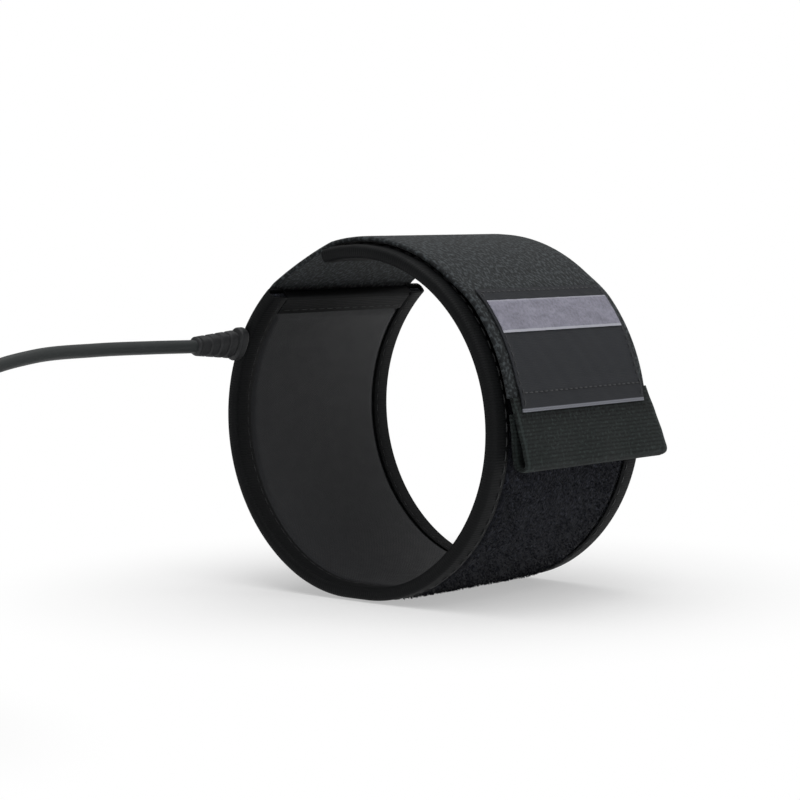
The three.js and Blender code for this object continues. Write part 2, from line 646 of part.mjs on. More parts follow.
function plugContact(index) {
  const { count, width, thickness, length, pitch, setback } = PLUG_CONTACT;
  const x = (index - (count - 1) / 2) * pitch;
  const tongueTop = -PLUG_SHELL.height / 2 + PLUG_SHELL.wall + PLY_GAP + PLUG_TONGUE.thickness;
  return new THREE.BoxGeometry(width, thickness, length)
    .translate(x, tongueTop + PLY_GAP + thickness / 2, plugFace + PLUG_SHELL.exposed - setback - length / 2);
}

// Scene
const root = new THREE.Group();

function piece(name, geometry, colour, roughness, metalness = 0, parent = root) {
  const material = new THREE.MeshStandardMaterial({ color: colour, roughness, metalness });
  const mesh = new THREE.Mesh(geometry, material);
  mesh.name = name;
  parent.add(mesh);
  return mesh;
}

function addPad() {
  piece("inner_lining", pressedPly(0, LINING_THICKNESS, liningLip), 0x1b1b1e, 0.85);
  piece("heater_film", innerPly(filmFrom, FILM_THICKNESS), 0xa8642a, 0.4);
  piece("heating_element", heatingElement(), 0xb9bcc0, 0.35, 0.9);
  piece("insulation_foam", foam(), 0x9a9ca0, 0.95);
  piece("outer_cover", pressedPly(coverFrom, COVER_THICKNESS, coverLip), 0x1c1a1f, 1);
  piece("front_binding", cut(longBinding(-1), reliefSlot()), 0x17181a, 0.8);
  piece("rear_binding", longBinding(1), 0x17181a, 0.8);
  piece("near_end_binding", endBinding(PAD_START, 1), 0x17181a, 0.8);
  piece("far_end_binding", endBinding(padEnd, -1), 0x17181a, 0.8);
}

function addWiring() {
  const leads = [
    { name: "negative", side: -1, colour: 0x111111 },
    { name: "positive", side: 1, colour: 0xa01818 },
  ];
  for (const { name, side, colour } of leads) {
    piece(`solder_tab_${name}`, solderTab(side), 0xc9c9c4, 0.35, 0.9);
    piece(`lead_wire_${name}`, leadWire(side), colour, 0.5);
  }
  piece("thermal_cutout", thermalCutout(), 0x3a3a3d, 0.5);
}

function addStrap() {
  const strapStart = padEnd - perimeter - STRAP_OVERLAP;
  const strap = wrappedStrip(strapStart, STRAP_END, strapHeight, STRAP_THICKNESS, STRAP_WIDTH);
  piece("elastic_strap", strap, 0x35393a, 0.95);
  const hookHeight = () => padThickness + PLY_GAP + HOOK_THICKNESS / 2;
  const hookEnd = HOOK_START + HOOK_LENGTH;
  const hooks = wrappedStrip(HOOK_START, hookEnd, hookHeight, HOOK_THICKNESS, HOOK_WIDTH);
  piece("hook_tape", hooks, 0x151517, 0.7);
  const label = wrappedStrip(LABEL_START, LABEL_END, labelHeight, LABEL_THICKNESS, LABEL_WIDTH);
  piece("label", label, 0x141416, 0.7);
  const bandHeight = (s) => labelHeight(s) + (LABEL_THICKNESS + BAND_THICKNESS) / 2 + PLY_GAP;
  const bandEnd = BAND_START + BAND_LENGTH;
  const band = wrappedStrip(BAND_START, bandEnd, bandHeight, BAND_THICKNESS, BAND_WIDTH);
  piece("label_band", band, 0x8a8690, 0.8);
  piece("pull_tab", pullTab(), 0x232b2a, 0.9);
}

function addCord() {
  piece("cable_strain_relief", strainRelief(), 0x1a1a1c, 0.55);
  piece("cable", cordTube(cordRoute, CORD_STEPS), 0x1a1a1c, 0.5);
  const coil = piece("cable_coil", coilRing(), 0x1a1a1c, 0.5);
  coil.position.set(COIL_X, COIL_Y, coilBottom);
  const tie = piece("coil_tie", coilTie(), 0x101012, 0.8);
  const reach = (tieOuter + tieInner) / 2;
  const angle = THREE.MathUtils.degToRad(TIE_ANGLE);
  tie.rotation.z = angle;
  const height = coilBottom + coilHeight / 2;
  tie.position.set(COIL_X + reach * Math.cos(angle), COIL_Y + reach * Math.sin(angle), height);
  piece("cable_tail", cordTube(tailRoute, TAIL_STEPS), 0x1a1a1c, 0.5);
}

function addPlug() {
  const plug = new THREE.Group();
  plug.position.set(plugX, plugBackY, plugMiddle);
  plug.rotation.x = Math.PI / 2;
  piece("plug_overmould", plugBody(), 0x161618, 0.5, 0, plug);
  piece("plug_shell", plugShell(), 0xc4c6c8, 0.25, 1, plug);
  piece("plug_tongue", plugTongue(), 0xe6e6e2, 0.5, 0, plug);
  for (let i = 0; i < PLUG_CONTACT.count; i += 1) {
    piece(`plug_contact_${i + 1}`, plugContact(i), 0xd9a441, 0.3, 1, plug);
  }
  root.add(plug);
}

addPad();
addWiring();
addStrap();
addCord();
addPlug();

export default root;
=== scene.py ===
"""Dew heater strip for a camera lens, closed into its loop, with its lead coiled beside it.

Sizes inside the classes are in millimetres and every mesh is written in metres. Cloth is laid out
flat first, as it is cut: x lies across the strip, s runs along its inner face from the top of the
loop down the label side, and t is the height above that face.
"""
import logging
import math
from dataclasses import dataclass, field, replace
from enum import Enum
from typing import Callable, Sequence, Union

import bpy
import numpy as np
from mathutils import Matrix, Vector


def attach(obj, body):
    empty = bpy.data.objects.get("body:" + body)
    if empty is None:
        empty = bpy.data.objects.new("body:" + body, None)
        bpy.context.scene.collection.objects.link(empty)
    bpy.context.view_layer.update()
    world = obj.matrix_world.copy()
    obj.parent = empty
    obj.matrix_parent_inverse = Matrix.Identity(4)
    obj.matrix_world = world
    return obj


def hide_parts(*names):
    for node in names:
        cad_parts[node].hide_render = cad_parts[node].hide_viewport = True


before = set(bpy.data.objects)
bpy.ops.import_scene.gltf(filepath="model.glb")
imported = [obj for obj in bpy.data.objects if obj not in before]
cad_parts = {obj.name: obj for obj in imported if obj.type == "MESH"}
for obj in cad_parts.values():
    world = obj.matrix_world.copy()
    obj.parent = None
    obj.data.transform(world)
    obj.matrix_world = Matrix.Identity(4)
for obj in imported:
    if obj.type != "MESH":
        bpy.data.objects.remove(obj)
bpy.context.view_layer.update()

MM = 0.001
BODY = "root"
log = logging.getLogger("heater_strip")
Number = Union[int, float]
Array = np.ndarray


class Slot(Enum):
    """Material slots of the record that the pieces take their finish from."""

    PILE = "loop_pile"
    LINING = "lining_cloth"
    FILM = "film"
    FOIL = "element_foil"
    FOAM = "foam"
    BINDING = "binding_tape"
    SOLDER = "solder"
    WIRE_BLACK = "wire_black"
    WIRE_RED = "wire_red"
    CUTOUT = "cutout_case"
    ELASTIC = "elastic"
    HOOK = "hook_nylon"
    LABEL = "label_weave"
    BAND = "label_print"
    WEBBING = "tab_webbing"
    JACKET = "cord_jacket"
    TIE = "tie"
    OVERMOULD = "overmould"
    STEEL = "plug_steel"
    INSULATOR = "plug_insulator"
    GOLD = "contact_gold"


def linear(red: Number, green: Number, blue: Number) -> tuple[float, float, float, float]:
    """Turn a colour written as 0 to 255 per channel into the renderer's linear colour.

    Args:
        red: Red channel.
        green: Green channel.
        blue: Blue channel.

    Returns:
        The linear colour with full alpha.
    """
    parts = [channel / 255 for channel in (red, green, blue)]
    values = [p / 12.92 if p <= 0.04045 else ((p + 0.055) / 1.055) ** 2.4 for p in parts]
    return (*values, 1.0)


def ease(low: float, high: float, value: Array) -> Array:
    """Give a smooth step from 0 at low to 1 at high."""
    share = np.clip((np.asarray(value, float) - low) / (high - low), 0, 1)
    return share * share * (3 - 2 * share)


def ripple(value: Array, seed: int, waves: int = 5) -> Array:
    """Give a smooth wandering line between about -1 and 1.

    Args:
        value: Places along the line, in its own wavelengths.
        seed: Which line is given.
        waves: How many sine waves make it.

    Returns:
        The line's height at each place.
    """
    random = np.random.default_rng(seed)
    total = np.zeros_like(np.asarray(value, float))
    for _ in range(waves):
        pitch, phase = random.uniform(0.6, 1.7), random.uniform(0, 2 * math.pi)
        total = total + np.sin(2 * math.pi * np.asarray(value, float) / pitch + phase)
    return total / waves * 1.4


def part(first: Array, last: Array, low: float, high: float, at: float) -> Array:
    """Give the point on the line from first, at low, to last, at high."""
    return first + (last - first) * (at - low) / (high - low)


# Shader tools


class Value:
    """A number socket that Python arithmetic can use."""

    def __init__(self, net: "Net", socket: bpy.types.NodeSocket) -> None:
        """Keep the socket and the net that it belongs to."""
        self.net = net
        self.socket = socket

    def _math(self, operation: str, first: "Term", second: "Term") -> "Value":
        """Add one Math node for two terms."""
        return self.net.node("ShaderNodeMath", {"operation": operation}, {0: first, 1: second})

    def __add__(self, other: "Term") -> "Value":
        """Add a term."""
        return self._math("ADD", self, other)

    __radd__ = __add__

    def __mul__(self, other: "Term") -> "Value":
        """Multiply by a term."""
        return self._math("MULTIPLY", self, other)

    __rmul__ = __mul__

    def __sub__(self, other: "Term") -> "Value":
        """Take a term away."""
        return self._math("SUBTRACT", self, other)

    def __rsub__(self, other: "Term") -> "Value":
        """Take this value away from a term."""
        return self._math("SUBTRACT", other, self)

    def __pow__(self, other: "Term") -> "Value":
        """Raise to a power."""
        return self._math("POWER", self, other)

    def __gt__(self, other: "Term") -> "Value":
        """Give 1 where this value is the greater."""
        return self._math("GREATER_THAN", self, other)

    def __abs__(self) -> "Value":
        """Give the size without the sign."""
        return self._math("ABSOLUTE", self, 0.0)

    def wave(self, pitch: float) -> "Value":
        """Give a sine of the given pitch, from -1 to 1."""
        return self._math("SINE", self * (2 * math.pi / pitch), 0.0)

    def between(self, low: float, high: float) -> "Value":
        """Map low to 0 and high to 1, and hold both ends.

        Args:
            low: Value that becomes 0.
            high: Value that becomes 1.

        Returns:
            The mapped value.
        """
        inputs = {"Value": self, "From Min": low, "From Max": high}
        return self.net.node("ShaderNodeMapRange", {"interpolation_type": "SMOOTHSTEP"}, inputs)


Term = Union[Value, Number]
Colour = Union[Value, tuple[float, float, float, float]]
WHITE = (1.0, 1.0, 1.0, 1.0)


class Net:
    """Node tree of a material or of the world, built round its shader."""

    def __init__(self, owner: Union[bpy.types.Material, bpy.types.World],
                 shader: str = "Principled BSDF") -> None:
        """Start from the shader that a new tree comes with.

        Args:
            owner: Material or world that holds the tree.
            shader: Name of the shader in it.
        """
        owner.use_nodes = True
        self.owner = owner
        self.tree = owner.node_tree
        self.shader = self.tree.nodes[shader]

    def put(self, socket: bpy.types.NodeSocket, content: object) -> None:
        """Link a value into a socket, or set it there.

        Args:
            socket: Input that is filled.
            content: Value, number, colour or vector.
        """
        if isinstance(content, Value):
            self.tree.links.new(content.socket, socket)
        else:
            socket.default_value = content

    def node(self, kind: str, settings: dict, inputs: dict, output: Union[int, str] = 0) -> Value:
        """Add a node of any kind.

        Args:
            kind: Type of the node.
            settings: Its properties, which are set first.
            inputs: Values or links of its sockets, by name or place.
            output: Which output is given.

        Returns:
            The chosen output.
        """
        made = self.tree.nodes.new(kind)
        for key, setting in settings.items():
            setattr(made, key, setting)
        for key, content in inputs.items():
            self.put(made.inputs[key], content)
        return Value(self, made.outputs[output])

    def also(self, value: Value, output: Union[int, str]) -> Value:
        """Give another output of the node that a value comes from."""
        return Value(self, value.socket.node.outputs[output])

    def seen(self, first: str, second: str) -> Value:
        """Give 1 on rays of either of two kinds, named as the Light Path node names them."""
        ray = self.node("ShaderNodeLightPath", {}, {}, first)
        return (ray + self.also(ray, second)).between(0.0, 1.0)

    def shade(self, **sockets: object) -> None:
        """Fill sockets of the shader, written with underscores for spaces."""
        for key, content in sockets.items():
            self.put(self.shader.inputs[key.replace("_", " ")], content)

    def flat(self) -> tuple[Value, Value, Value]:
        """Give a cloth's own coordinates in millimetres: across, along and outwards."""
        place = self.node("ShaderNodeAttribute", {"attribute_name": "flat"}, {}, "Vector")
        return self.split(place)

    def split(self, vector: Value) -> tuple[Value, Value, Value]:
        """Take a vector apart."""
        first = self.node("ShaderNodeSeparateXYZ", {}, {0: vector})
        return first, self.also(first, 1), self.also(first, 2)

    def join(self, x: Term, y: Term, z: Term) -> Value:
        """Put a vector together."""
        return self.node("ShaderNodeCombineXYZ", {}, {0: x, 1: y, 2: z})

    def place(self) -> Value:
        """Give the place on the object in millimetres."""
        metres = self.node("ShaderNodeTexCoord", {}, {}, "Object")
        return self.node("ShaderNodeVectorMath", {"operation": "SCALE"}, {0: metres, "Scale": 1 / MM})

    def noise(self, vector: Value, size: float, detail: float = 3.0) -> Value:
        """Give noise from 0 to 1 with features of about the given size in millimetres."""
        inputs = {"Vector": vector, "Scale": 1 / size, "Detail": detail, "Roughness": 0.6}
        return self.node("ShaderNodeTexNoise", {}, inputs, 0)

    def cells(self, vector: Value, size: float, output: str = "Distance") -> Value:
        """Give Voronoi cells of about the given size in millimetres."""
        return self.node("ShaderNodeTexVoronoi", {}, {"Vector": vector, "Scale": 1 / size}, output)

    def mix(self, share: Term, low: Colour, high: Colour) -> Value:
        """Mix two colours."""
        settings = {"data_type": "RGBA", "clamp_factor": True}
        return self.node("ShaderNodeMix", settings, {0: share, 6: low, 7: high}, 2)

    def bump(self, height: Value, strength: float = 1.0) -> None:
        """Feed the shader's normal with a height in millimetres."""
        inputs = {"Height": height, "Distance": MM, "Strength": strength}
        self.shade(Normal=self.node("ShaderNodeBump", {}, inputs))


@dataclass(frozen=True)
class Finish:
    """A surface: its colour, how that wanders, and how rough it is."""

    name: str
    colour: tuple
    spread: float = 0.25
    roughness: float = 0.7

    def tones(self) -> tuple[Colour, Colour]:
        """Give the darkest and the lightest tone of the colour.

        Returns:
            Both tones as linear colours.
        """
        base = linear(*self.colour)
        low = tuple(c * (1 - self.spread) for c in base[:3]) + (1.0,)
        high = tuple(min(1.0, c * (1 + self.spread)) for c in base[:3]) + (1.0,)
        return low, high

    def toned(self, net: Net, share: Term) -> Value:
        """Mix the darkest and the lightest tone by a share."""
        return net.mix(share, *self.tones())

    def paint(self, net: Net) -> None:
        """Fill the net; each kind of finish has its own way."""
        raise NotImplementedError

    def make(self) -> bpy.types.Material:
        """Make the material.

        Returns:
            The material.
        """
        net = Net(bpy.data.materials.new(self.name))
        self.paint(net)
        return net.owner


@dataclass(frozen=True)
class LoopPile(Finish):
    """Brushed loop cloth that hook tape grips."""

    def paint(self, net: Net) -> None:
        """Mottle the pile, and paint light on the tips of its loops and shade low in the pile.

        Args:
            net: Net of the material.
        """
        x, s, t = net.flat()
        place = net.join(x, s, t)
        mottle = net.noise(place, 5.0)
        fuzz = net.noise(place, 0.7, 5.0)
        curled = net.noise(place, 0.55, 2.0).between(0.46, 0.64)
        lint = net.noise(place, 1.1, 1.0).between(0.6, 0.7)
        # painted light and shade: loop tips lighter, the lower pile and backing darker
        painted_tip_light = t.between(2.9, 3.8)
        tone = mottle * 0.2 + curled * 0.45 + painted_tip_light * 0.2 + lint * 0.8
        net.shade(Base_Color=self.toned(net, tone), Roughness=self.roughness + 0.15 * fuzz)
        net.shade(Sheen_Weight=0.05, Sheen_Roughness=0.5, Specular_IOR_Level=0.12)
        curls = net.cells(place, 0.55)
        net.bump(curls * 0.25 + fuzz * 0.3, 0.8)


@dataclass(frozen=True)
class Woven(Finish):
    """Plain weave: threads go over and under each other in two directions."""

    across: float = 0.42
    along: float = 0.36
    relief: float = 0.06
    sheen: float = 0.1

    def paint(self, net: Net) -> None:
        """Build the threads, their slight wandering and a little lint.

        Args:
            net: Net of the material.
        """
        x, s, _ = net.flat()
        place = net.join(x, s, 0.0)
        wander = net.noise(place, 9.0, 2.0) * 0.5
        warp = abs((x + wander).wave(2 * self.across))
        weft = abs((s + wander).wave(2 * self.along))
        over = ((x + wander).wave(2 * self.across) * (s + wander).wave(2 * self.along)) > 0.0
        thread = warp * over + weft * (1 - over)
        mottle = net.noise(place, 4.0)
        lint = (net.noise(place, 0.35, 2.0) > 0.7) * 0.35
        tone = thread * 0.45 + mottle * 0.45 + lint
        net.shade(Base_Color=self.toned(net, tone))
        net.shade(Roughness=self.roughness + 0.2 * mottle - 0.1 * thread)
        net.shade(Sheen_Weight=self.sheen, Specular_IOR_Level=0.35)
        net.bump(thread * self.relief)


@dataclass(frozen=True)
class EdgeTape(Finish):
    """Grosgrain tape with fine ribs across its length."""

    pitch: float = 0.62

    def paint(self, net: Net) -> None:
        """Build the ribs, worn a little shinier where the tape is handled.

        Args:
            net: Net of the material.
        """
        x, s, t = net.flat()
        place = net.join(x, s, t)
        bend = net.noise(place, 7.0, 2.0) * 0.35
        ribs = abs((s + bend).wave(2 * self.pitch))
        strands = abs(x.wave(0.5)) * 0.4
        worn = net.noise(place, 11.0)
        net.shade(Base_Color=self.toned(net, ribs * 0.4 + worn * 0.6))
        net.shade(Roughness=self.roughness - 0.15 * worn + 0.1 * strands)
        net.shade(Specular_IOR_Level=0.1)
        net.bump(ribs * 0.05 + strands * 0.02)


@dataclass(frozen=True)
class Elastic(Finish):
    """Knitted elastic: columns of yarn along it with short pale curls."""

    column: float = 1.3

    def paint(self, net: Net) -> None:
        """Build the columns, the short curls of yarn on them and the stretched mottle.

        Args:
            net: Net of the material.
        """
        x, s, _ = net.flat()
        drift = net.noise(net.join(x * 0.3, s, 0.0), 5.0, 2.0) * 0.5
        columns = abs((x + drift).wave(2 * self.column))
        curls = net.noise(net.join(x, s * 0.75, 0.0), 0.75, 3.0)
        specks = curls.between(0.47, 0.62)
        mottle = net.noise(net.join(x, s, 0.0), 8.0)
        tone = specks * 0.72 + columns * 0.05 + mottle * 0.25
        net.shade(Base_Color=self.toned(net, tone))
        net.shade(Roughness=self.roughness + 0.12 * mottle)
        net.shade(Sheen_Weight=0.08, Sheen_Roughness=0.45, Specular_IOR_Level=0.2)
        net.bump(columns * 0.015 + curls * 0.12)


@dataclass(frozen=True)
class Label(Finish):
    """Bare woven label: satin weave, with a painted highlight along the folded hem at its foot."""

    end: float = 0.0
    hem: float = 0.75

    def paint(self, net: Net) -> None:
        """Build the satin floats, the painted highlight on the folded hem at the foot, and the faint
        rubbing of use.

        Args:
            net: Net of the material.
        """
        x, s, _ = net.flat()
        place = net.join(x, s, 0.0)
        step = (x * 0.35 + s).wave(0.9)
        floats = abs((s + net.noise(place, 3.0, 1.0) * 0.2).wave(0.7)) * 0.6 + abs(step) * 0.4
        rubbed = net.noise(place, 6.0, 4.0)
        fleck = (net.noise(place, 0.45, 2.0) > 0.68) * 0.3
        # painted highlight: the folded hem at the label's foot is made pale as if catching the light
        hem = (s - (self.end - self.hem)).between(0.0, 0.12)
        body = self.toned(net, floats * 0.4 + rubbed * 0.4 + fleck)
        pale = net.mix(floats, linear(96, 98, 104), linear(128, 130, 138))
        net.shade(Base_Color=net.mix(hem, body, pale))
        net.shade(Roughness=self.roughness + 0.2 * rubbed)
        net.shade(Sheen_Weight=0.06, Sheen_Roughness=0.4, Specular_IOR_Level=0.25)
        net.bump(floats * 0.05 + rubbed * 0.05)


@dataclass(frozen=True)
class Suede(Finish):
    """Brushed band on the label, with a fine pale line along its upper and its lower edge."""

    upper: float = 0.0
    lower: float = 0.0

    def paint(self, net: Net) -> None:
        """Build the nap, its brushed patches and the pale line.

        Args:
            net: Net of the material.
        """
        x, s, _ = net.flat()
        place = net.join(x, s, 0.0)
        nap = net.noise(place, 0.8, 5.0).between(0.3, 0.7)
        brushed = net.noise(net.join(x * 0.5, s, 0.0), 3.0, 5.0).between(0.25, 0.75)
        foot = (s - (self.lower - 0.6)).between(0.0, 0.2)
        edge = foot + (1 - (s - self.upper).between(0.25, 0.4)) * 0.45
        specks = net.noise(place, 0.5, 2.0).between(0.6, 0.68) * 0.35
        body = self.toned(net, nap * 0.45 + brushed * 0.5 - specks)
        net.shade(Base_Color=net.mix(edge * 0.8, body, linear(186, 187, 196)))
        net.shade(Roughness=self.roughness + 0.1 * nap)
        net.shade(Sheen_Weight=0.08, Specular_IOR_Level=0.15)
        net.bump(nap * 0.08 + brushed * 0.03)


@dataclass(frozen=True)
class Webbing(Finish):
    """Ribbed webbing: cords across it, bound down by fine yarn along it, with a pale selvage line."""

    pitch: float = 0.9
    half: float = 0.0

    def paint(self, net: Net) -> None:
        """Build the yarn that crosses each cord, painted shade in the valleys between the cords and at the
        tab's root, and lint.

        Args:
            net: Net of the material.
        """
        x, s, _ = net.flat()
        place = net.join(x, s, 0.0)
        crest = abs(s.wave(2 * self.pitch))
        yarn = abs((x + (s * (1 / self.pitch)).wave(4.0) * 0.1).wave(0.62))
        mottle = net.noise(place, 5.0)
        lint = net.noise(place, 0.8, 4.0).between(0.5, 0.7) * 0.7
        # painted shade: the tab darkens in uneven blotches near its root, where it comes out under the
        # label
        root = 1 - s.between(1.5, 9.0)
        knots = net.noise(net.join(x, s * 0.5, 0.0), 0.7, 2.0).between(0.5, 0.6)
        side = abs(x)
        outer = self.half - 0.6
        selvage = side.between(outer - 0.7, outer - 0.45) * (1 - side.between(outer, outer + 0.2))
        # painted shade: the valleys between the cords are darker than their crests
        tone = crest * 0.25 + mottle * 0.3 + yarn * 0.1 + lint + selvage * 0.55
        net.shade(Base_Color=self.toned(net, tone - root * (0.16 + 0.35 * knots)))
        net.shade(Roughness=self.roughness + 0.12 * mottle)
        net.shade(Sheen_Weight=0.05, Specular_IOR_Level=0.2)
        net.bump(crest * 0.12 + yarn * 0.06)


@dataclass(frozen=True)
class Moulded(Finish):
    """Moulded rubber or plastic with a fine spark texture and faint scuffs."""

    grain: float = 0.35
    relief: float = 0.02
    coat: float = 0.0

    def paint(self, net: Net) -> None:
        """Build the grain, the scuffs and patches handled smoother.

        Args:
            net: Net of the material.
        """
        place = net.place()
        grain = net.noise(place, self.grain, 3.0)
        handled = net.noise(place, 9.0, 2.0)
        scuffs = net.noise(place, 2.2, 6.0).between(0.58, 0.7)
        net.shade(Base_Color=self.toned(net, handled * 0.6 + scuffs * 0.4))
        net.shade(Roughness=self.roughness + 0.18 * handled - 0.08 * scuffs + 0.05 * grain)
        net.shade(Specular_IOR_Level=0.45, Coat_Weight=self.coat)
        net.bump(grain * self.relief + scuffs * 0.01)


@dataclass(frozen=True)
class Metal(Finish):
    """Drawn or plated metal with fine lines, smears and a dulled patch here and there."""

    lines: float = 0.25

    def paint(self, net: Net) -> None:
        """Build the draw lines and the smears.

        Args:
            net: Net of the material.
        """
        x, y, z = net.split(net.place())
        drawn = net.noise(net.join(x * 3.0, y * 0.2, z * 3.0), self.lines, 4.0)
        smears = net.noise(net.join(x, y, z), 4.0, 3.0)
        dull = smears.between(0.5, 0.75)
        net.shade(Base_Color=self.toned(net, drawn * 0.5 + smears * 0.5), Metallic=1 - dull * 0.08)
        net.shade(Roughness=self.roughness + 0.15 * drawn + 0.2 * dull)
        net.bump(drawn * 0.006)


@dataclass(frozen=True)
class Film(Finish):
    """Heater film: amber sheet with a faint crinkle and glue haze."""

    def paint(self, net: Net) -> None:
        """Build the crinkle, the haze and small trapped bubbles.

        Args:
            net: Net of the material.
        """
        place = net.place()
        haze = net.noise(place, 12.0)
        crinkle = net.noise(place, 2.5, 4.0)
        bubbles = 1 - net.cells(place, 3.0).between(0.05, 0.12)
        net.shade(Base_Color=self.toned(net, haze * 0.7 + bubbles * 0.3))
        net.shade(Roughness=self.roughness + 0.25 * haze, Coat_Weight=0.3)
        net.bump(crinkle * 0.04 + bubbles * 0.03)


@dataclass(frozen=True)
class Foam(Finish):
    """Closed-cell foam sheet."""

    def paint(self, net: Net) -> None:
        """Build the cells and the darker pores between them.

        Args:
            net: Net of the material.
        """
        place = net.place()
        cell = net.cells(place, 0.5)
        big = net.noise(place, 3.0)
        net.shade(Base_Color=self.toned(net, cell * 0.6 + big * 0.4))
        net.shade(Roughness=self.roughness + 0.1 * cell)
        net.bump(cell * 0.12)


@dataclass(frozen=True)
class Thread(Finish):
    """Sewing thread, twisted from two plies."""

    def paint(self, net: Net) -> None:
        """Build the twist and the fuzz of loose fibre.

        Args:
            net: Net of the material.
        """
        x, s, t = net.flat()
        twist = abs((x + s).wave(0.5))
        fuzz = net.noise(net.join(x, s, t), 0.3)
        net.shade(Base_Color=self.toned(net, twist * 0.6 + fuzz * 0.4))
        net.shade(Roughness=self.roughness + 0.15 * fuzz, Sheen_Weight=0.15)
        net.bump(twist * 0.05)


FINISHES: dict[Slot, Finish] = {
    Slot.PILE: LoopPile("loop_pile_cloth", (34, 36, 43), 0.7, 0.82),
    Slot.LINING: Woven("lining_taffeta", (34, 35, 38), 0.3, 0.55, 0.3, 0.3, 0.04, 0.04),
    Slot.FILM: Film("heater_film_amber", (176, 104, 40), 0.25, 0.3),
    Slot.FOIL: Metal("element_foil_tinned", (186, 188, 190), 0.15, 0.32),
    Slot.FOAM: Foam("insulation_foam_grey", (150, 152, 156), 0.2, 0.85),
    Slot.BINDING: EdgeTape("binding_grosgrain", (19, 20, 21), 0.4, 0.65),
    Slot.SOLDER: Metal("solder_tin", (200, 200, 196), 0.15, 0.3),
    Slot.WIRE_BLACK: Moulded("lead_insulation_black", (24, 24, 25), 0.25, 0.4),
    Slot.WIRE_RED: Moulded("lead_insulation_red", (150, 26, 24), 0.2, 0.4),
    Slot.CUTOUT: Moulded("cutout_case_dark", (58, 58, 62), 0.2, 0.45),
    Slot.ELASTIC: Elastic("strap_elastic", (52, 56, 58), 0.85, 0.8),
    Slot.HOOK: Moulded("hook_tape_nylon", (26, 26, 28), 0.3, 0.45),
    Slot.LABEL: Label("label_satin", (40, 42, 46), 0.35, 0.62),
    Slot.BAND: Suede("label_band_suede", (138, 137, 150), 0.3, 0.85),
    Slot.WEBBING: Webbing("tab_webbing_ribbed", (32, 38, 37), 0.9, 0.8),
    Slot.JACKET: Moulded("cord_jacket_rubber", (46, 50, 50), 0.2, 0.42, 0.5, 0.015),
    Slot.TIE: Woven("tie_hook_and_loop", (26, 26, 29), 0.35, 0.75),
    Slot.OVERMOULD: Moulded("relief_and_plug_rubber", (38, 39, 41), 0.25, 0.5),
    Slot.STEEL: Metal("plug_shell_nickel", (196, 198, 200), 0.12, 0.22),
    Slot.INSULATOR: Moulded("plug_tongue_white", (228, 228, 224), 0.06, 0.4),
    Slot.GOLD: Metal("contact_gold_plate", (214, 164, 72), 0.12, 0.2),
}


class Wardrobe:
    """Keeps each finish's material, made once."""

    def __init__(self) -> None:
        """Start with no materials made."""
        self.made: dict[str, bpy.types.Material] = {}

    def of(self, finish: Finish) -> bpy.types.Material:
        """Give the material of a finish.

        Args:
            finish: The finish.

        Returns:
            Its material, made at the first call.
        """
        if finish.name not in self.made:
            self.made[finish.name] = finish.make()
        return self.made[finish.name]

    def dress(self, piece: bpy.types.Object, slot: Slot, finish: Finish | None = None) -> None:
        """Put a finish on a new piece and let it ride on the strip's body.

        Args:
            piece: The new piece.
            slot: Slot of the record that it takes.
            finish: Finish, where it isn't the slot's own.
        """
        piece.data.materials.clear()
        piece.data.materials.append(self.of(finish or FINISHES[slot]))
        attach(piece, BODY)

    def carry_over(self, node: str, slot: Slot) -> None:
        """Give a CAD node the finish of its slot.

        Args:
            node: Name of the node.
            slot: Its slot.
        """
        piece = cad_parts[node]
        material = self.of(FINISHES[slot])
        if not piece.data.materials:
            piece.data.materials.append(material)
        for holder in piece.material_slots:
            holder.material = material
        log.info("%s: kept, finish %s", node, material.name)


WARDROBE = Wardrobe()


# Mesh tools


def linked(name: str, data: bpy.types.ID) -> bpy.types.Object:
    """Make an object of some data and link it into the scene.

    Args:
        name: Name of the object.
        data: Mesh, curve, camera or light that it shows.

    Returns:
        The object.
    """
    made = bpy.data.objects.new(name, data)
    bpy.context.scene.collection.objects.link(made)
    return made


def stacked(x: Array, y: Array, z: Array) -> Array:
    """Put three grids of coordinates together, one row for each point."""
    return np.stack(np.broadcast_arrays(x, y, z), axis=-1)


def run_along(line: Array) -> Array:
    """Give how far along a line each of its points lies."""
    return np.concatenate([[0], np.cumsum(np.hypot(*np.diff(line, axis=0).T))])


def resampled(line: Array, run: Array, places: Array) -> Array:
    """Give a line's points at other distances along it."""
    return np.column_stack([np.interp(places, run, line[:, k]) for k in (0, 1)])


def headings(line: Array) -> Array:
    """Give the direction of a line at each of its points, with length 1."""
    steps = np.gradient(line, axis=0)
    return steps / np.linalg.norm(steps, axis=1)[:, None]


def mesh_piece(name: str, points: Array, faces: list, flat: Array | None = None,
               crease: float = 50.0) -> bpy.types.Object:
    """Make an object from points in millimetres.

    Args:
        name: Name of the piece.
        points: Its corners, one row each.
        faces: Lists of corner numbers.
        flat: Cloth coordinates of the corners.
        crease: Edges that turn by more degrees than this stay sharp.

    Returns:
        The linked object.
    """
    mesh = bpy.data.meshes.new(name)
    mesh.from_pydata((points * MM).tolist(), [], faces)
    if flat is not None:
        layer = mesh.attributes.new("flat", "FLOAT_VECTOR", "POINT")
        layer.data.foreach_set("vector", np.ascontiguousarray(flat, dtype=np.float32).ravel())
    mesh.shade_smooth()
    mesh.set_sharp_from_angle(angle=math.radians(crease))
    mesh.validate()
    return linked(name, mesh)


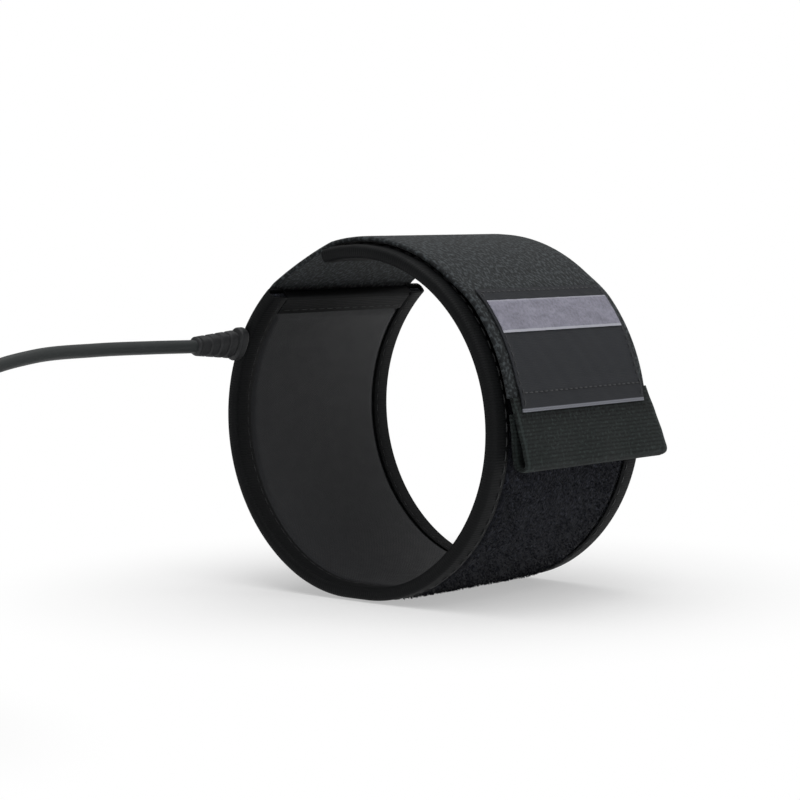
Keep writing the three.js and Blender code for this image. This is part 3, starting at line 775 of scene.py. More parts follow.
def tube_faces(rings: int, around: int, offset: int = 0, capped: bool = True) -> list[tuple]:
    """List the faces of a closed tube of rings.

    Args:
        rings: Number of rings.
        around: Points in each ring.
        offset: Number of the first point.
        capped: Whether the two ends are closed.

    Returns:
        The faces.
    """
    faces = []
    for ring in range(rings - 1):
        low, high = offset + ring * around, offset + (ring + 1) * around
        for side in range(around):
            after = (side + 1) % around
            faces.append((low + side, low + after, high + after, high + side))
    if capped:
        faces.append(tuple(offset + side for side in range(around))[::-1])
        faces.append(tuple(offset + (rings - 1) * around + side for side in range(around)))
    return faces


def tube_piece(name: str, points: Array, flat: Array | None = None, crease: float = 50.0,
               flip: bool = False) -> bpy.types.Object:
    """Make a closed tube from a grid of points, one row for each ring.

    Args:
        name: Name of the piece.
        points: Corners, by ring and place round it.
        flat: Cloth coordinates of the corners.
        crease: Sharpest smooth edge, in degrees.
        flip: Whether the faces are turned over.

    Returns:
        The linked object.
    """
    rings, around = points.shape[:2]
    faces = tube_faces(rings, around)
    if flip:
        faces = [face[::-1] for face in faces]
    rows = None if flat is None else flat.reshape(-1, 3)
    return mesh_piece(name, points.reshape(-1, 3), faces, rows, crease)


def stadium(width: float, thickness: float, count: int, arc: int = 4) -> tuple[Array, Array]:
    """Give a flat section with round edges.

    Args:
        width: Full width.
        thickness: Full thickness.
        count: Steps across each face.
        arc: Steps round each edge.

    Returns:
        Places across and heights, once round the section.
    """
    half = thickness / 2
    reach = width / 2 - half
    across = np.linspace(-reach, reach, count + 1)
    turn = np.linspace(math.pi / 2, -math.pi / 2, arc + 1)[1:-1]
    places = np.concatenate([across, reach + half * np.cos(turn), across[::-1],
                             -reach - half * np.cos(turn)])
    heights = np.concatenate([np.full(count + 1, half), half * np.sin(turn),
                              np.full(count + 1, -half), -half * np.sin(turn)])
    return places, heights


def squircle(count: int, power: float) -> tuple[Array, Array]:
    """Give a round section of half size 1; a power under 1 makes it squarer.

    Args:
        count: Number of points.
        power: Power that the circle's sine and cosine are raised to.

    Returns:
        Places across, and heights.
    """
    turn = np.linspace(0, 2 * math.pi, count, endpoint=False)
    cos, sin = np.cos(turn), np.sin(turn)
    return np.sign(cos) * np.abs(cos) ** power, np.sign(sin) * np.abs(sin) ** power


@dataclass(frozen=True)
class Loop:
    """Outline of the strip's inner face: a circle with a flat spot blended in at the bottom."""

    radius: float = 39.0
    flat: float = 6.0
    blend: float = 33.0
    pad: float = 3.6

    @property
    def drop(self) -> float:
        """Distance from the circle's centre down to the blends' centres."""
        return math.sqrt((self.radius - self.blend) ** 2 - (self.flat / 2) ** 2)

    @property
    def blend_angle(self) -> float:
        """Angle that each blend turns through."""
        return math.atan2(self.flat / 2, self.drop)

    @property
    def side_arc(self) -> float:
        """Length from the top to where the first blend starts."""
        return self.radius * (math.pi - self.blend_angle)

    @property
    def blend_arc(self) -> float:
        """Length of one blend."""
        return self.blend * self.blend_angle

    @property
    def perimeter(self) -> float:
        """Whole length of the inner face."""
        return 2 * (self.side_arc + self.blend_arc) + self.flat

    @property
    def axis_height(self) -> float:
        """Height of the lens axis over the surface below."""
        return self.drop + self.blend + self.pad

    def frames(self, s: Array) -> tuple[Array, Array, Array, Array]:
        """Find the foot points and outward directions of stations.

        Args:
            s: Stations along the inner face.

        Returns:
            Foot y, foot z, outward y and outward z.
        """
        s = np.asarray(s, float)
        half = self.flat / 2
        low = self.axis_height - self.drop
        first = self.side_arc
        second = first + self.blend_arc
        third = second + self.flat
        tests = [s <= first, s <= second, s <= third, s <= self.perimeter - first]
        angle = np.select(tests, [s / self.radius, math.pi - self.blend_angle + (s - first) / self.blend,
                                  math.pi, math.pi + (s - third) / self.blend],
                          (s - self.perimeter) / self.radius)
        middle = np.select(tests, [0.0, -half, s - second - half, half], 0.0)
        centre = np.select(tests, [self.axis_height, low, low, low], self.axis_height)
        reach = np.select(tests, [self.radius, self.blend, self.blend, self.blend], self.radius)
        out_y, out_z = -np.sin(angle), np.cos(angle)
        return middle + reach * out_y, centre + reach * out_z, out_y, out_z

    def wrap(self, x: Array, s: Array, t: Array) -> Array:
        """Carry flat cloth coordinates to their places on the loop.

        Args:
            x: Places across.
            s: Stations along the inner face.
            t: Heights over it.

        Returns:
            The places, one row each.
        """
        foot_y, foot_z, out_y, out_z = self.frames(s)
        return stacked(x, foot_y + t * out_y, foot_z + t * out_z)

    def grown(self, length: float, height: float) -> float:
        """Give a length along the inner face as it is at a height over it."""
        return length * (self.radius + height) / self.radius

    def room(self, s: Array) -> Array:
        """Give the height over the inner face at which a station meets the surface below.

        Args:
            s: Stations along the inner face.

        Returns:
            The heights, infinite where a station doesn't look down.
        """
        _, foot_z, _, out_z = self.frames(s)
        steep = 0.2
        return np.where(out_z < -steep, foot_z / np.maximum(-out_z, steep), math.inf)


LOOP = Loop()


def wrapped(name: str, x: Array, s: Array, t: Array, crease: float = 50.0,
            flip: bool = False) -> bpy.types.Object:
    """Make a closed cloth piece from grids of flat coordinates, and wrap it round the loop."""
    return tube_piece(name, LOOP.wrap(x, s, t), stacked(x, s, t), crease, flip)


@dataclass(frozen=True)
class Plies:
    """Where the layers of the pad lie, shared by every piece that is sewn to it."""

    width: float = 57.0
    start: float = -9.5
    gap: float = 19.0
    binding: float = 5.8
    tape: float = 0.45
    ramp: float = 1.3
    cloth_gap: float = 0.2
    floor_gap: float = 0.02
    cord_from_end: float = 15.0

    @property
    def end(self) -> float:
        """Station of the pad's far end."""
        return self.start + LOOP.perimeter - self.gap

    @property
    def half(self) -> float:
        """Half the pad's width."""
        return self.width / 2

    @property
    def leaf(self) -> float:
        """Half the width between the bindings."""
        return self.half - self.binding

    @property
    def cord_station(self) -> float:
        """Station where the cord leaves the front edge."""
        return self.end - self.cord_from_end

    def pressed(self, x: Array, s: Array) -> Array:
        """Say how far the pad is pressed together: 0 in the padded middle, 1 in the binding.

        Args:
            x: Places across.
            s: Stations along the inner face.

        Returns:
            The shares.
        """
        across = (np.abs(x) - self.leaf + self.ramp) / self.ramp
        near = self.start + self.binding + self.ramp - s
        far = s - self.end + self.binding + self.ramp
        return ease(0, 1, np.maximum(across, np.maximum(near, far) / self.ramp))


PLIES = Plies()


@dataclass
class Seam:
    """Rows of stitches sewn through cloth."""

    name: str
    pitch: float = 2.6
    length: float = 1.9
    thickness: float = 0.34
    colour: tuple = (30, 31, 33)
    clear: float = 0.25
    rings: int = 6
    sides: int = 6
    places: list = field(default_factory=list)

    def row(self, first: tuple[float, float], last: tuple[float, float],
            height: Union[float, Callable[[Array], Array]]) -> None:
        """Add a straight row of stitches, clear of the surface below.

        Args:
            first: Start of the row, as x and s.
            last: End of the row.
            height: Height of the cloth, or what gives it for stations.
        """
        start, step = np.array(first), np.subtract(last, first)
        span = np.linalg.norm(step)
        count = max(1, round(span / self.pitch))
        places = start + (np.arange(count)[:, None] + 0.5) / count * step
        s = places[:, 1]
        t = height(s) if callable(height) else np.full(count, height)
        t = np.minimum(t, LOOP.room(s) - self.clear)
        self.places.append(np.column_stack([places, t, np.tile(step / span, (count, 1))]))

    def build(self, slot: Slot) -> None:
        """Make all the stitches of the seam as one piece.

        Args:
            slot: Slot that the thread takes its finish from.
        """
        rows = np.vstack(self.places)
        rings, sides = self.rings, self.sides
        along = np.linspace(-1, 1, rings)
        turn = np.linspace(0, 2 * math.pi, sides, endpoint=False)
        thick = self.thickness / 2 * np.sqrt(np.maximum(0.08, 1 - along ** 2 * 0.85))
        side = thick[:, None] * np.cos(turn)[None, :]
        lift = thick[:, None] * np.sin(turn)[None, :] + (0.3 * self.thickness * (1 - along ** 2))[:, None]
        step = np.repeat((along * self.length / 2)[:, None], sides, axis=1)
        x = rows[:, 0, None, None] + rows[:, 3, None, None] * step - rows[:, 4, None, None] * side
        s = rows[:, 1, None, None] + rows[:, 4, None, None] * step + rows[:, 3, None, None] * side
        t = rows[:, 2, None, None] + lift
        points = LOOP.wrap(x, s, t).reshape(-1, 3)
        faces = []
        for index in range(len(rows)):
            faces.extend(tube_faces(rings, sides, index * rings * sides))
        piece = mesh_piece(self.name, points, faces, stacked(x, s, t).reshape(-1, 3), 80)
        WARDROBE.dress(piece, slot, Thread(f"{self.name}_thread", self.colour, 0.3, 0.6))
        log.info("%s: %d stitches", self.name, len(rows))


# The strip


@dataclass
class Pad:
    """Cover, lining and edge binding of the heated pad."""

    strap: "Strap"
    cover_under: tuple = (2.4, 1.3)
    backing: float = 3.05
    backing_pressed: float = 2.1
    crown: float = 0.18
    unevenness: float = 0.06
    lining_under: tuple = (0.0, 0.65)
    lining_over: tuple = (0.45, 1.1)
    pile: float = 0.6
    pile_root: float = 0.25
    pile_sunk: float = 0.9
    pile_pressed: float = 0.75
    pile_inset: tuple = (0.3, 0.4)
    loops: int = 21000
    loop_span: float = 0.5
    loop_width: float = 0.13
    seed: int = 7
    binding_top: float = 3.15
    binding_corner: float = 1.3
    pucker: float = 0.07
    pucker_pitch: float = 5.2
    stitch_inset: float = 1.3
    stitch_stop: float = 2.5
    end_stitch: float = 4.4

    def build(self) -> None:
        """Make every piece of the pad."""
        self.cover()
        self.lining()
        self.pile_loops()
        self.edges()
        self.seams()

    def ply(self, name: str, low: tuple[float, float], high: tuple[float, float], crown: float,
            rough: float) -> bpy.types.Object:
        """Make a sheet that is pressed together under the binding.

        Args:
            name: Name of the piece.
            low: Height of its inner face in the middle and in the binding.
            high: Height of its outer face in the middle and in the binding.
            crown: How far the middle swells.
            rough: Height of the cloth's own unevenness.

        Returns:
            The piece.
        """
        edge = PLIES.half - PLIES.tape - PLIES.cloth_gap
        middle = PLIES.leaf - 0.3
        columns = np.concatenate([np.linspace(-edge, -PLIES.leaf, 5), np.linspace(-middle, middle, 61),
                                  np.linspace(PLIES.leaf, edge, 5)])
        inset = PLIES.tape + PLIES.cloth_gap
        start, end = PLIES.start + inset, PLIES.end - inset
        stations = np.linspace(start, end, 210)
        x = np.concatenate([columns, columns[::-1]])[None, :]
        s = stations[:, None]
        pressed = PLIES.pressed(x, s)
        swell = crown * (1 - (x / PLIES.leaf) ** 2).clip(0, 1) * (1 - pressed)
        uneven = rough * (ripple(s / 3.1 + x / 5.0, 3) + ripple(x / 2.7 - s / 6.0, 4)) * (1 - pressed)
        outer = high[0] + (high[1] - high[0]) * pressed + swell + uneven
        inner = low[0] + (low[1] - low[0]) * pressed
        upper = np.concatenate([np.ones(len(columns)), np.zeros(len(columns))])[None, :]
        t = outer * upper + inner * (1 - upper)
        t = np.minimum(t, LOOP.room(s) - PLIES.floor_gap)
        return wrapped(name, x, s, t)

    def cover(self) -> None:
        """Make the backing of the cover, which carries the pile."""
        piece = self.ply("cover_cloth", self.cover_under, (self.backing, self.backing_pressed),
                         self.crown, self.unevenness)
        WARDROBE.dress(piece, Slot.PILE)
        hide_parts("outer_cover")
        length = LOOP.grown(PLIES.end - PLIES.start, self.backing)
        length * MM
        log.info("cover_cloth: %.0f mm long", length)

    def lining(self) -> None:
        """Make the smooth lining that lies against the lens."""
        piece = self.ply("lining_cloth", self.lining_under, self.lining_over, 0.0, 0.0)
        WARDROBE.dress(piece, Slot.LINING)
        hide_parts("inner_lining")
        length = PLIES.end - PLIES.start
        length * MM
        log.info("lining_cloth: %.0f mm long", length)

    def pile_loops(self) -> None:
        """Grow the loops of the pile wherever the strap and the tab leave the cover bare."""
        random = np.random.default_rng(self.seed)
        count = self.loops
        side, inset = PLIES.leaf - self.pile_inset[0], PLIES.binding + self.pile_inset[1]
        x0 = random.uniform(-side, side, count)
        s0 = random.uniform(PLIES.start + inset, PLIES.end - inset, count)
        beside = np.abs(x0 - self.strap.shift) < self.strap.width / 2 - 0.5
        under_strap = beside & (s0 < self.strap.end - 2)
        far_strap = s0 > PLIES.end - self.strap.overlap - 1
        keep = ~(under_strap | far_strap)
        x0, s0 = x0[keep], s0[keep]
        count = len(x0)
        angle = random.uniform(0, 2 * math.pi, count)
        tall = self.pile * random.uniform(0.55, 1.25, count)
        tall = tall * (1 - self.pile_pressed * PLIES.pressed(x0, s0))
        lean = random.normal(0, 0.22, count)
        u = np.array([-1.0, -0.62, 0.0, 0.62, 1.0])
        rise = np.array([0.0, 0.75, 1.0, 0.75, 0.0])
        step = self.loop_span / 2 * u[None, :] * random.uniform(0.6, 1.2, count)[:, None]
        across = np.array([-1, 1]) * self.loop_width / 2
        dx, ds = np.cos(angle)[:, None, None], np.sin(angle)[:, None, None]
        bend = (lean[:, None] * rise[None, :])[:, :, None]
        x = x0[:, None, None] + dx * step[:, :, None] - ds * (across[None, None, :] + bend)
        s = s0[:, None, None] + ds * step[:, :, None] + dx * (across[None, None, :] + bend)
        base = self.backing - self.pile_root - self.pile_sunk * PLIES.pressed(x0, s0)
        t = (base[:, None] + (tall[:, None] + self.pile_root) * rise[None, :])[:, :, None]
        t = np.minimum(t, LOOP.room(s) - 1.5 * PLIES.floor_gap)
        points = LOOP.wrap(x, s, t).reshape(-1, 3)
        flat = stacked(x, s, t).reshape(-1, 3)
        faces = []
        for index in range(count):
            first = index * 10
            faces.extend((first + 2 * k, first + 2 * k + 1, first + 2 * k + 3, first + 2 * k + 2)
                         for k in range(4))
        piece = mesh_piece("cover_pile", points, faces, flat, 180)
        WARDROBE.dress(piece, Slot.PILE)
        log.info("cover_pile: %d loops", count)

    def fold(self) -> tuple[Array, Array]:
        """Give the section of the folded tape.

        Returns:
            Distances in from the edge, and heights.
        """
        tape, leaf = PLIES.tape, PLIES.binding - PLIES.cloth_gap
        top, corner = self.binding_top, self.binding_corner
        inner = corner - tape
        quarter = np.linspace(0, math.pi / 2, 6)
        outside = [(leaf, 0.12), (leaf - 0.12, 0.0), (leaf * 0.6, 0.0)]
        outside += [(corner - corner * math.sin(a), corner - corner * math.cos(a)) for a in quarter]
        outside += [(corner - corner * math.cos(a), top - corner + corner * math.sin(a)) for a in quarter]
        outside += [(leaf * 0.6, top), (leaf - 0.12, top), (leaf, top - 0.12)]
        inside = [(leaf, top - tape + 0.1), (leaf - 0.1, top - tape), (leaf * 0.6, top - tape)]
        inside += [(corner - inner * math.sin(a), top - corner + inner * math.cos(a)) for a in quarter]
        inside += [(corner - inner * math.cos(a), corner - inner * math.sin(a)) for a in quarter]
        inside += [(leaf * 0.6, tape), (leaf - 0.1, tape), (leaf, tape - 0.1)]
        section = np.array(outside + inside)
        return section[:, 0], section[:, 1]

    def edges(self) -> None:
        """Bind the two long edges and the two ends."""
        inward, height = self.fold()
        stations = np.linspace(PLIES.start, PLIES.end, 250)[:, None]
        flat_width = 2 * PLIES.binding + self.binding_top
        for side, node in ((-1, "front_binding"), (1, "rear_binding")):
            pucker = self.pucker * ripple(stations / self.pucker_pitch, 11 + side)
            pucker = pucker * ease(1.0, 4.5, inward)[None, :]
            upper = (height > self.binding_top / 2)[None, :]
            t = np.minimum(height[None, :] + pucker * upper, LOOP.room(stations) - PLIES.floor_gap)
            piece = wrapped(f"{node}_tape", side * (PLIES.half - inward)[None, :], stations, t,
                            flip=side < 0)
            self.finish_edge(piece, node, PLIES.end - PLIES.start, flat_width)
        columns = np.linspace(-PLIES.leaf, PLIES.leaf, 60)[:, None]
        for end, step, node in ((PLIES.start, 1, "near_end_binding"), (PLIES.end, -1, "far_end_binding")):
            piece = wrapped(f"{node}_tape", columns, end + step * inward[None, :], height[None, :],
                            flip=step < 0)
            self.finish_edge(piece, node, 2 * PLIES.leaf, flat_width)

    @staticmethod
    def finish_edge(piece: bpy.types.Object, node: str, length: float, width: float) -> None:
        """Dress a binding, hide the solid that it stands for and log its length.

        Args:
            piece: The tape.
            node: Solid that it stands for.
            length: Its flat length.
            width: Its flat width; not used.
        """
        WARDROBE.dress(piece, Slot.BINDING)
        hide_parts(node)
        length * MM
        width * MM
        log.info("%s: tape %.0f mm long", piece.name, length)

    def seams(self) -> None:
        """Sew the bindings down on both faces."""
        inset = PLIES.leaf + self.stitch_inset
        faces = (("outer_binding_seam", self.binding_top - 0.02, 0.32), ("inner_binding_seam", -0.02, 0.2))
        for name, height, thickness in faces:
            seam = Seam(name, pitch=3.0, length=2.1, thickness=thickness)
            for x in (-inset, inset):
                seam.row((x, PLIES.start + self.stitch_stop), (x, PLIES.end - self.stitch_stop), height)
            for end in (PLIES.start + self.end_stitch, PLIES.end - self.end_stitch):
                seam.row((-PLIES.leaf + 1, end), (PLIES.leaf - 1, end), height)
            seam.build(Slot.BINDING)


@dataclass
class Strap:
    """Elastic strap with its hook tape, label and pull tab."""

    width: float = 52.0
    thickness: float = 1.3
    shift: float = 0.9
    end: float = 54.0
    overlap: float = 10.0
    dip: float = 0.75
    selvage: float = 1.4
    selvage_drop: float = 0.09
    column: float = 0.02
    column_pitch: float = 1.9
    waist: float = 0.012
    waist_at: float = -19.0
    waist_reach: float = 14.0
    hook_start: float = 34.0
    hook_length: float = 18.5
    hook_width: float = 44.0
    hook_thickness: float = 0.5
    hook_rise: float = 9.0
    hook_base: float = 0.24
    hook_pitch: float = 1.15
    label_start: float = 30.6
    label_end: float = 57.3
    label_width: float = 46.5
    label_thickness: float = 0.3
    label_rise: float = 3.0
    band_start: float = 33.7
    band_length: float = 7.5
    band_width: float = 45.0
    band_thickness: float = 0.26
    tab_length: float = 17.0
    tab_thickness: float = 1.1
    tab_fold: float = 1.7
    tab_drift: float = 4.4
    tab_flare: float = 3.2
    tab_pinch: float = 3.6
    tab_rib: float = 0.9
    seat: float = 0.3

    @property
    def start(self) -> float:
        """Station of the end that is sewn to the pad."""
        return PLIES.end - LOOP.perimeter - self.overlap

    @property
    def tab_middle(self) -> float:
        """Height of the pull tab's outer leaf."""
        return LOOP.pad + self.seat + PLIES.cloth_gap + 1.5 * self.tab_thickness

    def height(self, s: Array) -> Array:
        """Give the height of the strap's middle, which rises over the hook tape.

        Args:
            s: Stations along the inner face.

        Returns:
            The heights.
        """
        rise = (self.hook_thickness + PLIES.cloth_gap) * ease(self.hook_start - self.hook_rise,
                                                             self.hook_start, s)
        return LOOP.pad + PLIES.cloth_gap + self.thickness / 2 + rise

    def label_height(self, s: Array) -> Array:
        """Give the height of the label's middle, which rises over the tab.

        Args:
            s: Stations along the inner face.

        Returns:
            The heights.
        """
        top = self.tab_middle + self.tab_thickness / 2
        over = max(0.0, top - float(self.height(np.array(self.end))) - self.thickness / 2)
        beyond = np.maximum(0, np.asarray(s, float) - self.end) / LOOP.radius
        leaving = (LOOP.radius + top) * (1 / np.cos(beyond) - 1)
        rise = over * ease(self.end - self.label_rise, self.end, s) + leaving
        return self.height(s) + self.thickness / 2 + PLIES.cloth_gap + self.label_thickness / 2 + rise

    def build(self) -> None:
        """Make every piece of the strap."""
        self.band_of_elastic()
        self.hooks()
        self.label()
        self.tab()
        self.seams()

    def strap_top(self, s: Array) -> Array:
        """Give the height that a seam on the strap lies at."""
        return self.height(s) + self.thickness / 2 - 0.02

    def label_top(self, s: Array) -> Array:
        """Give the height that a seam on the label's hem lies at."""
        return self.label_height(s) + self.label_thickness / 2 + 0.08

    def sag(self, s: Array) -> Array:
        """Give how far the stretched strap dips where it bridges the pad's two ends."""
        half = PLIES.gap / 2
        return self.dip * np.clip(1 - ((np.asarray(s, float) - PLIES.start + half) / half) ** 2, 0, 1)

    def band_of_elastic(self) -> None:
        """Make the strap itself."""
        across, high = stadium(self.width, self.thickness, 96)
        s = np.linspace(self.start, self.end + self.seat - 0.03, 150)[:, None]
        x = across[None, :]
        inner = self.width / 2 - self.selvage
        selvage = self.selvage_drop * ease(inner - 0.5, inner, np.abs(across))[None, :]
        columns = self.column * np.sin(across * 2 * math.pi / self.column_pitch) * (np.abs(across) < inner)
        outside = (high > 0)[None, :]
        narrow = 1 - self.waist * np.exp(-((s - self.waist_at) / self.waist_reach) ** 2)
        t = self.height(s) - self.sag(s) + high[None, :] + (columns - selvage) * outside
        piece = wrapped("strap_elastic", self.shift + x * narrow, s, t)
        WARDROBE.dress(piece, Slot.ELASTIC)
        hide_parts("elastic_strap")
        length = LOOP.grown(self.end - self.start, 4.4)
        length * MM
        log.info("strap_elastic: %.0f mm long", length)

    def hooks(self) -> None:
        """Make the hook tape under the strap, with its rows of hooks."""
        across, high = stadium(self.hook_width, self.hook_base, 20, 3)
        s = np.linspace(self.hook_start, self.hook_start + self.hook_length, 24)[:, None]
        base = LOOP.pad + PLIES.cloth_gap + self.hook_thickness - self.hook_base / 2
        piece = wrapped("hook_tape_base", self.shift + across[None, :], s, base + high[None, :])
        WARDROBE.dress(piece, Slot.HOOK)
        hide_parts("hook_tape")
        seam = Seam("hook_tape_hooks", thickness=0.2, length=0.55, pitch=0.9)
        side = self.hook_width / 2 - 0.6
        last = self.hook_start + self.hook_length - 0.8
        for row in np.arange(self.hook_start + 1, last, self.hook_pitch):
            seam.row((self.shift - side, row), (self.shift + side, row), base - self.hook_base)
        seam.build(Slot.HOOK)

    def label(self) -> None:
        """Make the woven label and the band on it."""
        across, high = stadium(self.label_width, self.label_thickness, 70, 3)
        s = np.linspace(self.label_start, self.label_end, 70)[:, None]
        x = across[None, :]
        hem = np.maximum(ease(self.label_width / 2 - 1.7, self.label_width / 2 - 1.3, np.abs(x)),
                         np.maximum(1 - ease(self.label_start + 1.3, self.label_start + 1.7, s),
                                    ease(self.label_end - 1.5, self.label_end - 1.1, s)))
        soft = 0.07 * ripple(s / 7 + x / 11, 31) + 0.05 * ripple(x / 6 - s / 9, 32)
        upper = (high > 0)[None, :]
        t = self.label_height(s) + high[None, :] + (0.1 * hem + soft * (1 - hem)) * upper
        piece = wrapped("label_cloth", self.shift + x, s, t)
        WARDROBE.dress(piece, Slot.LABEL, replace(FINISHES[Slot.LABEL], end=self.label_end))
        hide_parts("label")
        length = LOOP.grown(self.label_end - self.label_start, 6)
        length * MM
        across, high = stadium(self.band_width, self.band_thickness, 70, 3)
        band_end = self.band_start + self.band_length
        s = np.linspace(self.band_start, band_end, 26)[:, None]
        x = across[None, :]
        edge = ease(0, 0.5, np.minimum(s - self.band_start, band_end - s))
        base = self.label_height(s) + self.label_thickness / 2 + PLIES.cloth_gap
        t = base + high[None, :] * (0.35 + 0.65 * edge) + 0.04 * ripple(x / 4 + s / 3, 41)
        band = wrapped("label_band_cloth", self.shift + x, s, t)
        suede = replace(FINISHES[Slot.BAND], upper=self.band_start, lower=band_end)
        WARDROBE.dress(band, Slot.BAND, suede)
        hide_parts("label_band")
        log.info("label_cloth and label_band_cloth: %.1f mm wide", self.label_width)

    def tab_line(self) -> Array:
        """Give the folded tab's middle line as distances down and out, in even steps.

        Returns:
            The line's points.
        """
        fold = self.tab_length - self.tab_fold - self.tab_thickness / 2
        first = [(down, 0.12 * math.sin(math.pi * down / fold)) for down in np.linspace(0, fold, 40)]
        turn = np.linspace(0, math.pi, 30)[1:-1]
        bend = [(fold + self.tab_fold * math.sin(a), -self.tab_fold * (1 - math.cos(a))) for a in turn]
        on_pad = LOOP.radius + LOOP.pad + self.seat + self.tab_thickness / 2
        back = []
        for share in np.linspace(0, 1, 40):
            down = fold + (self.tab_pinch - fold) * share
            straight = -2 * self.tab_fold + (2 * self.tab_fold - self.tab_thickness - 0.2) * share
            pad = math.sqrt(on_pad ** 2 - down ** 2) - LOOP.radius - self.tab_middle
            back.append((down, max(straight, pad)))
        line = np.array(first + bend + back)
        run = run_along(line)
        path = resampled(line, run, np.arange(0, run[-1], self.tab_rib / 7))
        kernel = np.ones(9) / 9
        padded = np.pad(path, ((4, 4), (0, 0)), mode="reflect", reflect_type="odd")
        return np.column_stack([np.convolve(padded[:, k], kernel, "valid") for k in (0, 1)])

    def tab_place(self, x: Array, down: Array, out: Array) -> Array:
        """Carry tab coordinates to their places: across, down from the seam, and outwards.

        Args:
            x: Places across.
            down: Distances down from the seam.
            out: Distances outwards.

        Returns:
            The places, one row each.
        """
        foot_y, foot_z, out_y, out_z = LOOP.frames(np.array(self.end + self.seat))
        y = foot_y + (self.tab_middle + out) * out_y - down * out_z
        z = foot_z + (self.tab_middle + out) * out_z + down * out_y
        return stacked(x, y, z)

    def tab(self) -> None:
        """Make the pull tab: ribbed webbing, folded back on itself."""
        line = self.tab_line()
        heading = headings(line)
        run = run_along(line)
        across, high = stadium(1.0, 0.02, 60, 4)
        across = across / np.abs(across).max() / 2
        high = high / np.abs(high).max()
        share = np.maximum(0, line[:, 0]) / self.tab_length
        width = (self.width + self.tab_flare * share)[:, None]
        x = self.shift + (self.tab_drift * share)[:, None] + width * across[None, :]
        x = x + 0.12 * ripple(run / 6, 51)[:, None] * (np.abs(across) > 0.45)[None, :]
        ribs = np.abs(np.sin(math.pi * run / self.tab_rib))[:, None]
        from_edge = width * (0.5 - np.abs(across))[None, :]
        body = ease(0.7, 1.3, from_edge)
        thick = self.tab_thickness / 2 - 0.13 + 0.15 * ribs * body - 0.05 * (1 - body)
        offset = high[None, :] * thick
        wavy = 0.22 * ripple(x / 19, 52) * ease(5, 15, line[:, 0])[:, None]
        down = line[:, :1] - heading[:, 1:] * offset
        out = line[:, 1:] + heading[:, :1] * offset + wavy
        points = self.tab_place(x, down, out)
        flat = stacked(self.width * across[None, :], run[:, None], offset)
        piece = tube_piece("tab_webbing", points, flat, 70)
        WARDROBE.dress(piece, Slot.WEBBING, replace(FINISHES[Slot.WEBBING], half=self.width / 2))
        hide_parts("pull_tab")
        log.info("tab_webbing: %.1f mm of webbing", run[-1])

    def seams(self) -> None:
        """Sew the strap to the pad, and the label to the strap."""
        half = self.width / 2 - 2.2
        sewn = Seam("strap_end_seam", pitch=2.4, length=1.8, colour=(44, 46, 48))
        low, high = self.start + 1.4, self.start + self.overlap - 1.6
        for s in (low, high):
            sewn.row((self.shift - half, s), (self.shift + half, s), self.strap_top)
        for x in (self.shift - half, self.shift + half):
            sewn.row((x, low), (x, high), self.strap_top)
        sewn.build(Slot.ELASTIC)
        side = self.label_width / 2 - 0.9
        left, right = self.shift - side, self.shift + side
        edge = Seam("label_seam", pitch=1.9, length=1.4, thickness=0.28, colour=(38, 39, 42))
        for x in (left, right):
            edge.row((x, self.label_start + 0.8), (x, self.label_end - 0.9), self.label_top)
        for s in (self.label_start + 0.8, self.end - 0.4):
            edge.row((left, s), (right, s), self.label_top)
        edge.build(Slot.LABEL)


